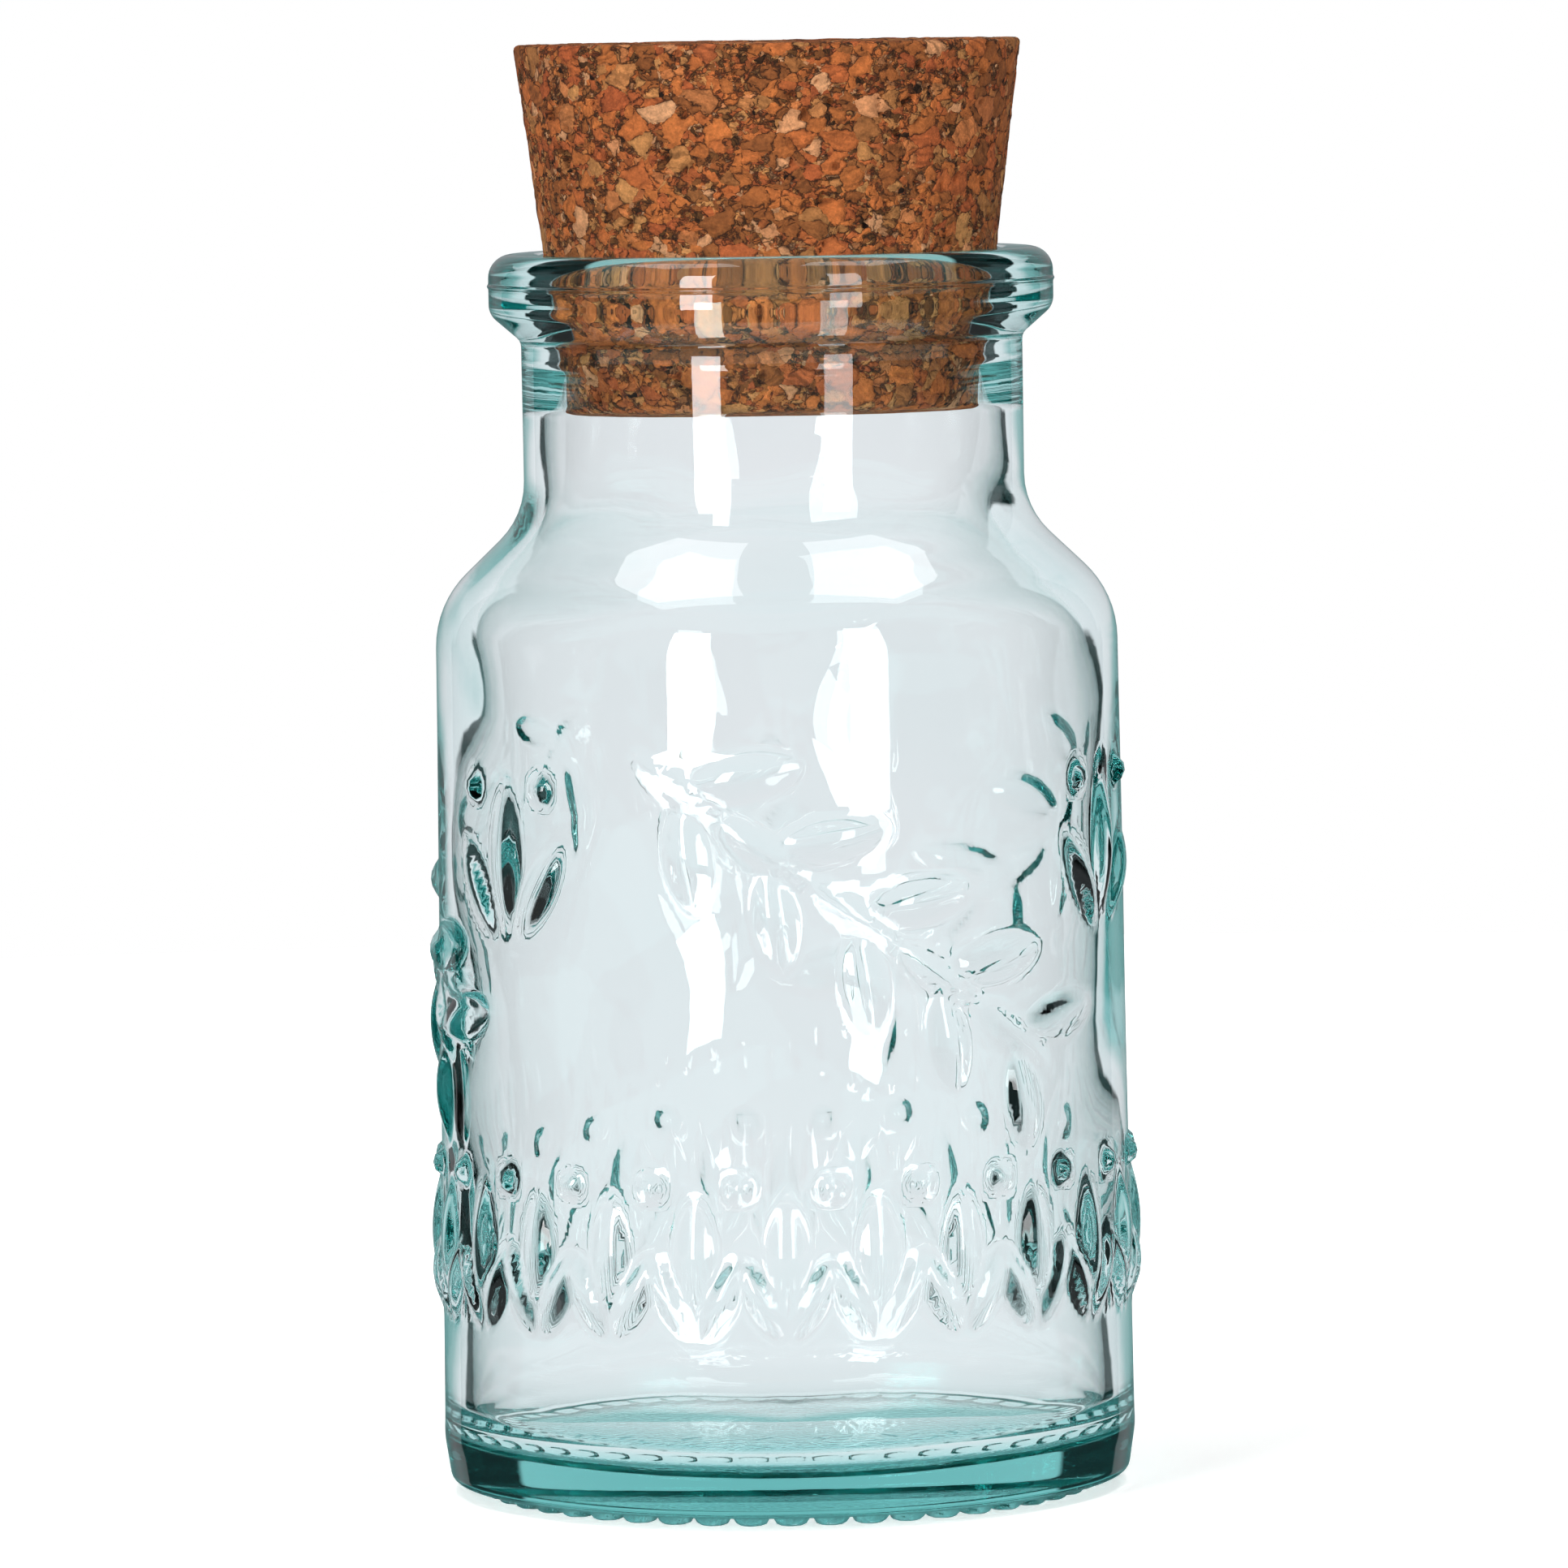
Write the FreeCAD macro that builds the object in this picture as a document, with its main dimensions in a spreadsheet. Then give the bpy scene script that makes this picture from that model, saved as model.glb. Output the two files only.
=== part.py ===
"""Recycled-glass storage jar with a tapered cork stopper.

The jar stands on the ground plane with its axis on +Z and the origin at the middle of its base.
Azimuth zero is the side that faces -Y, and azimuths grow towards +X. All lengths are millimetres.
"""
import FreeCAD
import Part
import Sketcher
import math
import os

# Driving dimensions: alias in the sheet, number, meaning
DIMENSIONS = [
    ("body_base_radius", 34.0, "outside of the body where it meets the heel"),
    ("body_top_radius", 33.4, "outside of the body where it meets the shoulder"),
    ("body_wall", 2.8, "glass in the body wall"),
    ("rim_height", 121.4, "top of the glass above the ground"),
    ("shoulder_height", 87.3, "where the lines of body and shoulder would cross"),
    ("shoulder_round", 10.0, "outer radius from body to shoulder"),
    ("shoulder_wall_drop", 1.2, "how much lower the same corners lie inside the glass"),
    ("neck_height", 95.8, "where the lines of shoulder and neck would cross"),
    ("neck_round", 8.0, "hollow radius from shoulder to neck"),
    ("neck_radius", 24.5, "outside of the neck"),
    ("neck_wall", 2.2, "glass in the neck below the bore"),
    ("rim_radius", 27.6, "outside of the rim"),
    ("rim_under_height", 112.9, "where the slope under the rim leaves the neck"),
    ("rim_side_height", 115.6, "where the slope under the rim would meet its side"),
    ("rim_under_round", 1.2, "hollow radius under the rim"),
    ("rim_side_round", 2.0, "lower radius of the rim"),
    ("rim_top_round", 2.3, "upper outer radius of the rim"),
    ("lip_round", 0.9, "radius at the mouth's edge"),
    ("mouth_radius", 22.36, "bore at the top of the rim"),
    ("bore_depth", 10.7, "tapered bore, from the rim down"),
    ("bore_step", 4.5, "height of the slope from the bore out to the neck's inside"),
    ("bore_round", 2.5, "radius at both ends of that slope"),
    ("heel_height", 5.5, "where the body begins to draw in towards the underside"),
    ("heel_blend", 10.0, "radius at that height"),
    ("heel_taper", 0.7, "how far the heel draws in down to the underside"),
    ("heel_round", 1.0, "radius from the heel to the underside"),
    ("foot_height", 1.1, "underside above the ground, which is the beads' height"),
    ("foot_inner_radius", 26.5, "where the hollow of the underside begins"),
    ("foot_round", 4.0, "radius at that edge"),
    ("push_up_height", 1.5, "middle of the underside above the ground"),
    ("floor_edge_height", 5.4, "inside floor at the wall, above the ground"),
    ("floor_middle_height", 6.2, "inside floor at the middle, above the ground"),
    ("floor_round", 4.0, "inside radius from the floor to the wall"),
    ("bead_count", 48, "resting beads round the foot"),
    ("bead_ring_radius", 29.0, "circle through the beads"),
    ("bead_radius", 1.85, "widest radius of a bead"),
    ("bead_round", 0.95, "radius of a bead's lower edge"),
    ("bead_sunk", 1.0, "how far a bead reaches into the glass above the foot"),
    ("relief_rise", 1.05, "how far the ornament stands out of the wall"),
    ("frieze_count", 24, "sprouts in the lower band"),
    ("frieze_height", 25.7, "middle of the lower band"),
    ("frieze_leaf_length", 17.5, "tip to tip, with the sunk ends"),
    ("frieze_leaf_half_width", 2.3, "at the widest, as a round spindle"),
    ("frieze_blade_length", 10.5, "side blade, tip to tip"),
    ("frieze_blade_half_width", 1.6, "side blade, at the widest"),
    ("frieze_blade_drop", 3.4, "side blade's middle below the band's middle"),
    ("frieze_blade_turn", 4.2, "side blade's azimuth from its leaf, degrees"),
    ("frieze_blade_lean", 26.0, "side blade's lean from upright, degrees"),
    ("berry_radius", 1.5, "round berry"),
    ("frieze_berry_rise", 7.2, "berry above the band's middle"),
    ("posy_count", 3, "upright posies, and as many hanging sprigs"),
    ("posy_azimuth", -52.0, "first posy, degrees"),
    ("posy_height", 64.0, "middle of a posy"),
    ("posy_leaf_length", 20.5, "middle leaf of a posy, tip to tip"),
    ("posy_leaf_half_width", 2.7, "middle leaf of a posy, at the widest"),
    ("posy_blade_length", 13.5, "side leaf of a posy, tip to tip"),
    ("posy_blade_half_width", 2.1, "side leaf of a posy, at the widest"),
    ("posy_blade_drop", 3.2, "side leaf's middle below the posy's middle"),
    ("posy_blade_turn", 8.2, "side leaf's azimuth from the middle leaf, degrees"),
    ("posy_blade_lean", 32.0, "side leaf's lean from upright, degrees"),
    ("posy_berry_rise", 6.6, "berry above the posy's middle"),
    ("posy_berry_turn", 9.0, "berry's azimuth from the middle leaf, degrees"),
    ("sprig_azimuth", -17.0, "first joint of a sprig's stem, degrees"),
    ("sprig_height", 71.0, "first joint of a sprig's stem"),
    ("sprig_turn", 14.5, "azimuth from joint to joint along the stem, degrees"),
    ("sprig_fall", 6.1, "height lost from joint to joint along the stem"),
    ("stem_length", 14.5, "one joint of the stem, tip to tip"),
    ("stem_half_width", 1.8, "stem, at the widest, as a round spindle"),
    ("stem_rise", 0.75, "how far the stem stands out of the wall"),
    ("sprig_leaf_length", 14.5, "leaf of a sprig, tip to tip"),
    ("sprig_leaf_half_width", 2.5, "leaf of a sprig, at the widest"),
    ("sprig_leaf_reach", 6.4, "from the stem to a leaf's middle"),
    ("sprig_leaf_spread", 46.0, "between the stem and a leaf, degrees"),
    ("cork_top_radius", 24.85, "upper end of the stopper"),
    ("cork_bottom_radius", 20.35, "lower end of the stopper"),
    ("cork_length", 35.2, "stopper from end to end"),
    ("cork_top_round", 0.5, "worn upper edge"),
    ("cork_bottom_round", 1.5, "rounded lower edge"),
    ("cork_clearance", 0.12, "between the stopper and the bore, across the radius"),
    ("overrun", 2.0, "how far a cut runs past the glass"),
]
SPRIG_JOINTS = 5
SHEET = "sizes"
FULL_TURN = 360
QUARTER_TURN = 90

# How a sketch numbers its own axes and the points of a line or an arc
LEVEL_AXIS, UPRIGHT_AXIS = -1, -2
START, END, CENTRE = 1, 2, 3


class Size:
    """A number from the sheet, or one worked out from such numbers, and the expression that gives it."""

    def __init__(self, value, text):
        self.value = value
        self.text = text

    def __add__(self, other):
        return Size(self.value + other.value, f"({self.text} + {other.text})")

    def __sub__(self, other):
        return Size(self.value - other.value, f"({self.text} - {other.text})")

    def __mul__(self, other):
        return Size(self.value * other.value, f"({self.text} * {other.text})")

    def __truediv__(self, other):
        return Size(self.value / other.value, f"({self.text} / {other.text})")

    def __neg__(self):
        return Size(-self.value, f"(-{self.text})")


def plain(number):
    """A count or a sign that goes into a sum of sizes."""
    return Size(number, str(number))


def sine(degrees):
    return Size(math.sin(math.radians(degrees.value)), f"sin({degrees.text} * 1 deg)")


def cosine(degrees):
    return Size(math.cos(math.radians(degrees.value)), f"cos({degrees.text} * 1 deg)")


def arc_tangent(rise, run):
    """Angle in degrees whose tangent is rise over run, for a positive run."""
    degrees = math.degrees(math.atan2(rise.value, run.value))
    return Size(degrees, f"(atan({rise.text} / {run.text}) / 1 deg)")


def fill_sheet(doc):
    """Write the driving dimensions to the sheet and hand them back by name."""
    sheet = doc.addObject("Spreadsheet::Sheet", SHEET)
    sizes = {}
    for row, (alias, number, meaning) in enumerate(DIMENSIONS, start=1):
        sheet.set(f"A{row}", meaning)
        sheet.set(f"B{row}", str(number))
        sheet.setAlias(f"B{row}", alias)
        sizes[alias] = Size(float(number), f"{SHEET}.{alias}")
    doc.recompute()
    return sizes


def new_sketch(body, name, role):
    """A sketch on one of the body's own origin planes."""
    plane = [feature for feature in body.Origin.OriginFeatures if feature.Role == role][0]
    sketch = body.newObject("Sketcher::SketchObject", name)
    sketch.AttachmentSupport = [(plane, "")]
    sketch.MapMode = "FlatFace"
    return sketch


def bind(sketch, constraint, expression):
    """Add a constraint and bind its datum to an expression."""
    index = sketch.addConstraint(constraint)
    sketch.setExpression(f"Constraints[{index}]", expression)


def hold_point(sketch, geometry, end, across, up):
    """Hold a point at its place. A point with no distance across lies on the axis."""
    if across is None:
        sketch.addConstraint(Sketcher.Constraint("PointOnObject", geometry, end, UPRIGHT_AXIS))
    else:
        bind(sketch, Sketcher.Constraint("DistanceX", geometry, end, across.value), across.text)
    if up is None:
        sketch.addConstraint(Sketcher.Constraint("PointOnObject", geometry, end, LEVEL_AXIS))
    else:
        bind(sketch, Sketcher.Constraint("DistanceY", geometry, end, up.value), up.text)


def corner_arc(before, corner, after, radius):
    """Where a round leaves and rejoins the sides of a corner, its arc, and whether it turns left."""
    arrive = (corner - before).normalize()
    leave = (after - corner).normalize()
    left = arrive.cross(leave).z > 0
    cut = radius * math.tan(arrive.getAngle(leave) / 2)
    first = corner - arrive * cut
    last = corner + leave * cut
    inward = FreeCAD.Vector(-arrive.y, arrive.x, 0) * (1 if left else -1)
    centre = first + inward * radius
    start, end = (first, last) if left else (last, first)
    begin = math.atan2(start.y - centre.y, start.x - centre.x)
    finish = math.atan2(end.y - centre.y, end.x - centre.x)
    circle = Part.Circle(centre, FreeCAD.Vector(0, 0, 1), radius)
    if finish < begin:
        finish += 2 * math.pi
    return first, last, Part.ArcOfCircle(circle, begin, finish), left


def draw_outline(sketch, corners):
    """Closed outline through corners of (across, up, round), with a tangent arc at each that has a round."""
    places = [
        FreeCAD.Vector(across.value if across else 0, up.value if up else 0, 0)
        for across, up, _ in corners
    ]
    count = len(corners)
    stops, starts, arcs, lefts = list(places), list(places), {}, {}
    for i, (_, _, radius) in enumerate(corners):
        if radius is not None:
            stops[i], starts[i], arcs[i], lefts[i] = corner_arc(
                places[i - 1], places[i], places[(i + 1) % count], radius.value
            )
    lines = [
        sketch.addGeometry(Part.LineSegment(starts[i], stops[(i + 1) % count])) for i in range(count)
    ]
    for i, (across, up, radius) in enumerate(corners):
        if radius is None:
            sketch.addConstraint(Sketcher.Constraint("Coincident", lines[i - 1], END, lines[i], START))
            hold_point(sketch, lines[i], START, across, up)
            continue
        arc = sketch.addGeometry(arcs[i])
        first, last = (START, END) if lefts[i] else (END, START)
        sketch.addConstraint(Sketcher.Constraint("Tangent", lines[i - 1], END, arc, first))
        sketch.addConstraint(Sketcher.Constraint("Tangent", arc, last, lines[i], START))
        bind(sketch, Sketcher.Constraint("Radius", arc, radius.value), radius.text)
        point = sketch.addGeometry(Part.Point(places[i]), True)
        sketch.addConstraint(Sketcher.Constraint("PointOnObject", point, START, lines[i - 1]))
        sketch.addConstraint(Sketcher.Constraint("PointOnObject", point, START, lines[i]))
        hold_point(sketch, point, START, across, up)


def turned(body, kind, name, sketch, axis):
    """A Revolution or Groove of the sketch, all the way round one of its axes."""
    feature = body.newObject(f"PartDesign::{kind}", name)
    feature.Profile = sketch
    feature.ReferenceAxis = (sketch, [axis])
    feature.Angle = FULL_TURN
    return feature


def stand_on_wall(sketch, azimuth, distance):
    """Set an upright sketch square to the radius at an azimuth, at a distance from the jar's axis."""
    sketch.AttachmentOffset = FreeCAD.Placement(
        FreeCAD.Vector(
            (distance * sine(azimuth)).value, 0, (distance * cosine(azimuth)).value
        ),
        FreeCAD.Rotation(FreeCAD.Vector(0, 1, 0), azimuth.value),
    )
    sketch.setExpression("AttachmentOffset.Base.x", (distance * sine(azimuth)).text)
    sketch.setExpression("AttachmentOffset.Base.z", (distance * cosine(azimuth)).text)
    if azimuth.value:
        sketch.setExpression("AttachmentOffset.Rotation.Angle", f"{azimuth.text} * 1 deg")


def wall_radius(s, height):
    """Outside of the body at a height, on the straight line from heel to shoulder."""
    slope = (s["body_base_radius"] - s["body_top_radius"]) / (s["shoulder_height"] - s["foot_height"])
    return s["body_base_radius"] - slope * (height - s["foot_height"])


def add_leaf(body, s, name, azimuth, height, lean, length, half_width, rise):
    """A pointed leaf: a spindle, sunk in the wall so that only its rise stands out.

    The spindle is an arc turned about its chord. The chord lies square to the radius and leans from
    upright, positive towards larger azimuths.
    """
    sketch = new_sketch(body, f"{name}_outline", "XZ_Plane")
    stand_on_wall(sketch, azimuth, wall_radius(s, height) + rise - half_width)
    half = length / plain(2)
    radius = (half * half + half_width * half_width) / (plain(2) * half_width)
    tilt = math.radians(lean.value)
    along = FreeCAD.Vector(math.sin(tilt), math.cos(tilt), 0)
    aside = FreeCAD.Vector(math.cos(tilt), -math.sin(tilt), 0)
    middle = FreeCAD.Vector(0, height.value, 0)
    chord = sketch.addGeometry(
        Part.LineSegment(middle - along * half.value, middle + along * half.value)
    )
    centre = middle + aside * (half_width.value - radius.value)
    opening = math.asin(half.value / radius.value)
    circle = Part.Circle(centre, FreeCAD.Vector(0, 0, 1), radius.value)
    arc = sketch.addGeometry(Part.ArcOfCircle(circle, -tilt - opening, -tilt + opening))
    point = sketch.addGeometry(Part.Point(middle), True)
    sketch.addConstraint(Sketcher.Constraint("Coincident", chord, START, arc, START))
    sketch.addConstraint(Sketcher.Constraint("Coincident", chord, END, arc, END))
    sketch.addConstraint(Sketcher.Constraint("Symmetric", chord, START, chord, END, point, START))
    hold_point(sketch, point, START, None, height)
    bind(sketch, Sketcher.Constraint("Distance", chord, length.value), length.text)
    bind(sketch, Sketcher.Constraint("Radius", arc, radius.value), radius.text)
    slope = plain(QUARTER_TURN) - lean
    bind(sketch, Sketcher.Constraint("Angle", chord, math.radians(slope.value)), f"{slope.text} * 1 deg")
    return turned(body, "Revolution", name, sketch, "Edge1")


def add_berry(body, s, name, azimuth, height):
    """A round berry: a ball, sunk in the wall so that only its rise stands out."""
    sketch = new_sketch(body, f"{name}_outline", "XZ_Plane")
    radius = s["berry_radius"]
    stand_on_wall(sketch, azimuth, wall_radius(s, height) + s["relief_rise"] - radius)
    middle = FreeCAD.Vector(0, height.value, 0)
    top = FreeCAD.Vector(0, (height + radius).value, 0)
    bottom = FreeCAD.Vector(0, (height - radius).value, 0)
    chord = sketch.addGeometry(Part.LineSegment(bottom, top))
    circle = Part.Circle(middle, FreeCAD.Vector(0, 0, 1), radius.value)
    quarter = math.radians(QUARTER_TURN)
    arc = sketch.addGeometry(Part.ArcOfCircle(circle, -quarter, quarter))
    sketch.addConstraint(Sketcher.Constraint("Coincident", chord, START, arc, START))
    sketch.addConstraint(Sketcher.Constraint("Coincident", chord, END, arc, END))
    sketch.addConstraint(Sketcher.Constraint("PointOnObject", arc, CENTRE, chord))
    hold_point(sketch, arc, CENTRE, None, height)
    sketch.addConstraint(Sketcher.Constraint("Vertical", chord))
    bind(sketch, Sketcher.Constraint("Radius", arc, radius.value), radius.text)
    return turned(body, "Revolution", name, sketch, "Edge1")


def add_ring(body, name, features, axis_sketch, count):
    """Repeat features round the jar's axis."""
    ring = body.newObject("PartDesign::PolarPattern", name)
    ring.Originals = features
    ring.Axis = (axis_sketch, ["V_Axis"])
    ring.Angle = FULL_TURN
    ring.setExpression("Occurrences", count.text)
    body.Tip = ring
    return ring


def blank_corners(s):
    """Outside of the glass, from the middle of the underside round to the top of the rim."""
    return [
        (None, s["push_up_height"], None),
        (s["foot_inner_radius"], s["foot_height"], s["foot_round"]),
        (s["body_base_radius"] - s["heel_taper"], s["foot_height"], s["heel_round"]),
        (wall_radius(s, s["heel_height"]), s["heel_height"], s["heel_blend"]),
        (s["body_top_radius"], s["shoulder_height"], s["shoulder_round"]),
        (s["neck_radius"], s["neck_height"], s["neck_round"]),
        (s["neck_radius"], s["rim_under_height"], s["rim_under_round"]),
        (s["rim_radius"], s["rim_side_height"], s["rim_side_round"]),
        (s["rim_radius"], s["rim_height"], s["rim_top_round"]),
        (None, s["rim_height"], None),
    ]


def cork_taper(s):
    """Radius that the stopper gains for each millimetre of its length, which the bore shares."""
    return (s["cork_top_radius"] - s["cork_bottom_radius"]) / s["cork_length"]


def cavity_corners(s):
    """Inside of the glass, from the middle of the floor up through the bore and past the rim."""
    base = s["body_base_radius"] - s["body_wall"]
    top = s["body_top_radius"] - s["body_wall"]
    neck = s["neck_radius"] - s["neck_wall"]
    bore_foot = s["rim_height"] - s["bore_depth"]
    return [
        (None, s["floor_middle_height"], None),
        (base, s["floor_edge_height"], s["floor_round"]),
        (top, s["shoulder_height"] - s["shoulder_wall_drop"], s["shoulder_round"] - s["body_wall"]),
        (neck, s["neck_height"] - s["shoulder_wall_drop"], s["neck_round"] + s["neck_wall"]),
        (neck, bore_foot - s["bore_step"], s["bore_round"]),
        (s["mouth_radius"] - cork_taper(s) * s["bore_depth"], bore_foot, s["bore_round"]),
        (s["mouth_radius"] + cork_taper(s) * s["overrun"], s["rim_height"] + s["overrun"], None),
        (None, s["rim_height"] + s["overrun"], None),
    ]


def bead_corners(s):
    """Half of one resting bead, flat underneath, with its upper end in the glass."""
    top = s["foot_height"] + s["bead_sunk"]
    return [
        (None, None, None),
        (s["bead_radius"], None, s["bead_round"]),
        (s["bead_radius"], top, None),
        (None, top, None),
    ]


def add_frieze(body, s):
    """One sprout of the lower band: an upright leaf, two side blades, and a berry beside it."""
    sizes = [s["frieze_blade_length"], s["frieze_blade_half_width"], s["relief_rise"]]
    foot = s["frieze_height"] - s["frieze_blade_drop"]
    turn, lean = s["frieze_blade_turn"], s["frieze_blade_lean"]
    half_step = plain(FULL_TURN) / s["frieze_count"] / plain(2)
    return [
        add_leaf(
            body, s, "frieze_leaf", plain(0), s["frieze_height"], plain(0),
            s["frieze_leaf_length"], s["frieze_leaf_half_width"], s["relief_rise"],
        ),
        add_leaf(body, s, "frieze_blade_right", turn, foot, lean, *sizes),
        add_leaf(body, s, "frieze_blade_left", -turn, foot, -lean, *sizes),
        add_berry(body, s, "frieze_berry", half_step, s["frieze_height"] + s["frieze_berry_rise"]),
    ]


def add_posy(body, s):
    """One upright posy: a tall leaf, a leaning leaf at each side, and a berry at each side of its tip."""
    middle, height = s["posy_azimuth"], s["posy_height"]
    foot = height - s["posy_blade_drop"]
    turn, lean = s["posy_blade_turn"], s["posy_blade_lean"]
    sizes = [s["posy_blade_length"], s["posy_blade_half_width"], s["relief_rise"]]
    berry_turn, berry_height = s["posy_berry_turn"], height + s["posy_berry_rise"]
    return [
        add_leaf(
            body, s, "posy_leaf", middle, height, plain(0),
            s["posy_leaf_length"], s["posy_leaf_half_width"], s["relief_rise"],
        ),
        add_leaf(body, s, "posy_blade_right", middle + turn, foot, lean, *sizes),
        add_leaf(body, s, "posy_blade_left", middle - turn, foot, -lean, *sizes),
        add_berry(body, s, "posy_berry_right", middle + berry_turn, berry_height),
        add_berry(body, s, "posy_berry_left", middle - berry_turn, berry_height),
    ]


def add_sprig(body, s):
    """One hanging sprig: a stem that runs down round the wall, a leaf at each side of every joint."""
    wall = wall_radius(s, s["sprig_height"])
    radian = plain(FULL_TURN / (2 * math.pi))
    step_across = wall * s["sprig_turn"] / radian
    fall_angle = arc_tangent(s["sprig_fall"], step_across)
    quarter = plain(QUARTER_TURN)
    features = []
    for joint in range(SPRIG_JOINTS):
        azimuth = s["sprig_azimuth"] + s["sprig_turn"] * plain(joint)
        height = s["sprig_height"] - s["sprig_fall"] * plain(joint)
        features.append(
            add_leaf(
                body, s, f"stem_{joint}", azimuth, height, fall_angle - quarter,
                s["stem_length"], s["stem_half_width"], s["stem_rise"],
            )
        )
        for side, sign in (("upper", 1), ("lower", -1)):
            bearing = fall_angle - s["sprig_leaf_spread"] * plain(sign)
            across = s["sprig_leaf_reach"] * cosine(bearing)
            down = s["sprig_leaf_reach"] * sine(bearing)
            lean = quarter + bearing if sign > 0 else bearing - quarter
            features.append(
                add_leaf(
                    body, s, f"sprig_leaf_{side}_{joint}", azimuth + across / wall * radian,
                    height - down, lean, s["sprig_leaf_length"], s["sprig_leaf_half_width"],
                    s["relief_rise"],
                )
            )
    return features


def circle_edge(shape, radius, height):
    """Name of the level circular edge with this radius nearest to this height."""
    found = []
    for index, edge in enumerate(shape.Edges, start=1):
        if edge.Degenerated:
            continue
        curve = edge.Curve
        if isinstance(curve, Part.Circle) and abs(curve.Axis.z) > abs(curve.Axis.x) + abs(curve.Axis.y):
            found.append((abs(curve.Radius - radius) + abs(curve.Center.z - height), f"Edge{index}"))
    return min(found)[1]


def make_jar(doc, s):
    """The glass: a turned blank, ornament and beads on it, then the inside cut out and the lip rounded."""
    body = doc.addObject("PartDesign::Body", "glass_jar")
    body.Label = "glass_jar"
    blank_sketch = new_sketch(body, "blank_outline", "XZ_Plane")
    draw_outline(blank_sketch, blank_corners(s))
    turned(body, "Revolution", "blank", blank_sketch, "V_Axis")

    add_ring(body, "sprig_ring", add_sprig(body, s), blank_sketch, s["posy_count"])
    add_ring(body, "posy_ring", add_posy(body, s), blank_sketch, s["posy_count"])
    add_ring(body, "frieze_ring", add_frieze(body, s), blank_sketch, s["frieze_count"])

    bead_sketch = new_sketch(body, "bead_outline", "XZ_Plane")
    draw_outline(bead_sketch, bead_corners(s))
    bead_sketch.setExpression("AttachmentOffset.Base.x", s["bead_ring_radius"].text)
    bead = turned(body, "Revolution", "bead", bead_sketch, "V_Axis")
    ring = add_ring(body, "bead_ring", [bead], blank_sketch, s["bead_count"])
    doc.recompute()
    solid_volume = ring.Shape.Volume

    cavity_sketch = new_sketch(body, "cavity_outline", "XZ_Plane")
    draw_outline(cavity_sketch, cavity_corners(s))
    cavity = turned(body, "Groove", "cavity", cavity_sketch, "V_Axis")
    doc.recompute()
    if cavity.Shape.Volume >= solid_volume:
        raise RuntimeError("the inside of the jar wasn't cut out")

    lip = body.newObject("PartDesign::Fillet", "lip")
    lip.Base = (cavity, [circle_edge(cavity.Shape, s["mouth_radius"].value, s["rim_height"].value)])
    lip.setExpression("Radius", s["lip_round"].text)
    body.Tip = lip
    return body


def make_stopper(doc, s):
    """The stopper: a turned frustum that sinks until its side reaches the bore's, less the clearance."""
    body = doc.addObject("PartDesign::Body", "cork_stopper")
    body.Label = "cork_stopper"
    sketch = new_sketch(body, "stopper_outline", "XZ_Plane")
    corners = [
        (None, None, None),
        (s["cork_bottom_radius"], None, s["cork_bottom_round"]),
        (s["cork_top_radius"], s["cork_length"], s["cork_top_round"]),
        (None, s["cork_length"], None),
    ]
    draw_outline(sketch, corners)
    turned(body, "Revolution", "stopper", sketch, "V_Axis")
    sunk = (s["mouth_radius"] - s["cork_clearance"] - s["cork_bottom_radius"]) / cork_taper(s)
    body.setExpression("Placement.Base.z", (s["rim_height"] - sunk).text)
    return body


def check(doc, bodies):
    """Stop if any object failed, or if a sub-part isn't one valid solid."""
    for thing in doc.Objects:
        if "Invalid" in thing.State or "Error" in thing.State:
            raise RuntimeError(f"{thing.Label} failed: {thing.State}")
    for body in bodies:
        shape = body.Shape
        if shape.isNull() or not shape.isValid() or len(shape.Solids) != 1:
            raise RuntimeError(f"{body.Label} isn't one valid solid")


def main():
    doc = FreeCAD.newDocument("glass_jar_with_cork")
    sizes = fill_sheet(doc)
    bodies = [make_jar(doc, sizes), make_stopper(doc, sizes)]
    doc.recompute()
    check(doc, bodies)
    os.makedirs("parts", exist_ok=True)
    for body in bodies:
        body.Shape.exportStep(f"parts/{body.Label}.step")
        print(f"{body.Label}: {body.Shape.Volume:.0f} mm3, area {body.Shape.Area:.0f} mm2")


main()
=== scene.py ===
"""Looks of a recycled-glass storage jar with a cork stopper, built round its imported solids.

Everything is built in metres, in the part's own frame: +Z up, the jar's axis on Z, its beads on the ground.
Azimuth zero is the side that faces -Y, and azimuths grow towards +X.
"""
import functools
import math

import bpy
import numpy as np
from mathutils import Matrix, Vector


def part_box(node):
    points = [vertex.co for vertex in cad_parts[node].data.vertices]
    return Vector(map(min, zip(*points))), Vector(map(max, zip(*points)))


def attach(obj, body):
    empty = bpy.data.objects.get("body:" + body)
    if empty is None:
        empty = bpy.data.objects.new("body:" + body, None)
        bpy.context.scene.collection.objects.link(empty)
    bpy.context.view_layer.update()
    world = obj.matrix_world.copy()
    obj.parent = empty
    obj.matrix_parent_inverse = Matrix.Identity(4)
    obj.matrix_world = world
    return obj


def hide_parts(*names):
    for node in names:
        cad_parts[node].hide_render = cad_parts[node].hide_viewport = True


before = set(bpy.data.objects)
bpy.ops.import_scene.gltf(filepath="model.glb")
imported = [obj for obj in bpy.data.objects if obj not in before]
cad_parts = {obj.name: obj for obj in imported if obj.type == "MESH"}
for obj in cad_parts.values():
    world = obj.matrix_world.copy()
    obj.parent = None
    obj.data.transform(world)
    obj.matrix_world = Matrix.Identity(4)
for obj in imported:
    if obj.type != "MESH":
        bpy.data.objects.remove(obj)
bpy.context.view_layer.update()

bl_info = {
    "name": "Glass jar with cork stopper",
    "version": (1, 0, 0),
    "blender": (4, 5, 0),
    "location": "View3D > Sidebar > Jar",
    "description": "Builds the glass, the cork and the studio of a storage jar",
    "category": "Object",
}

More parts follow.
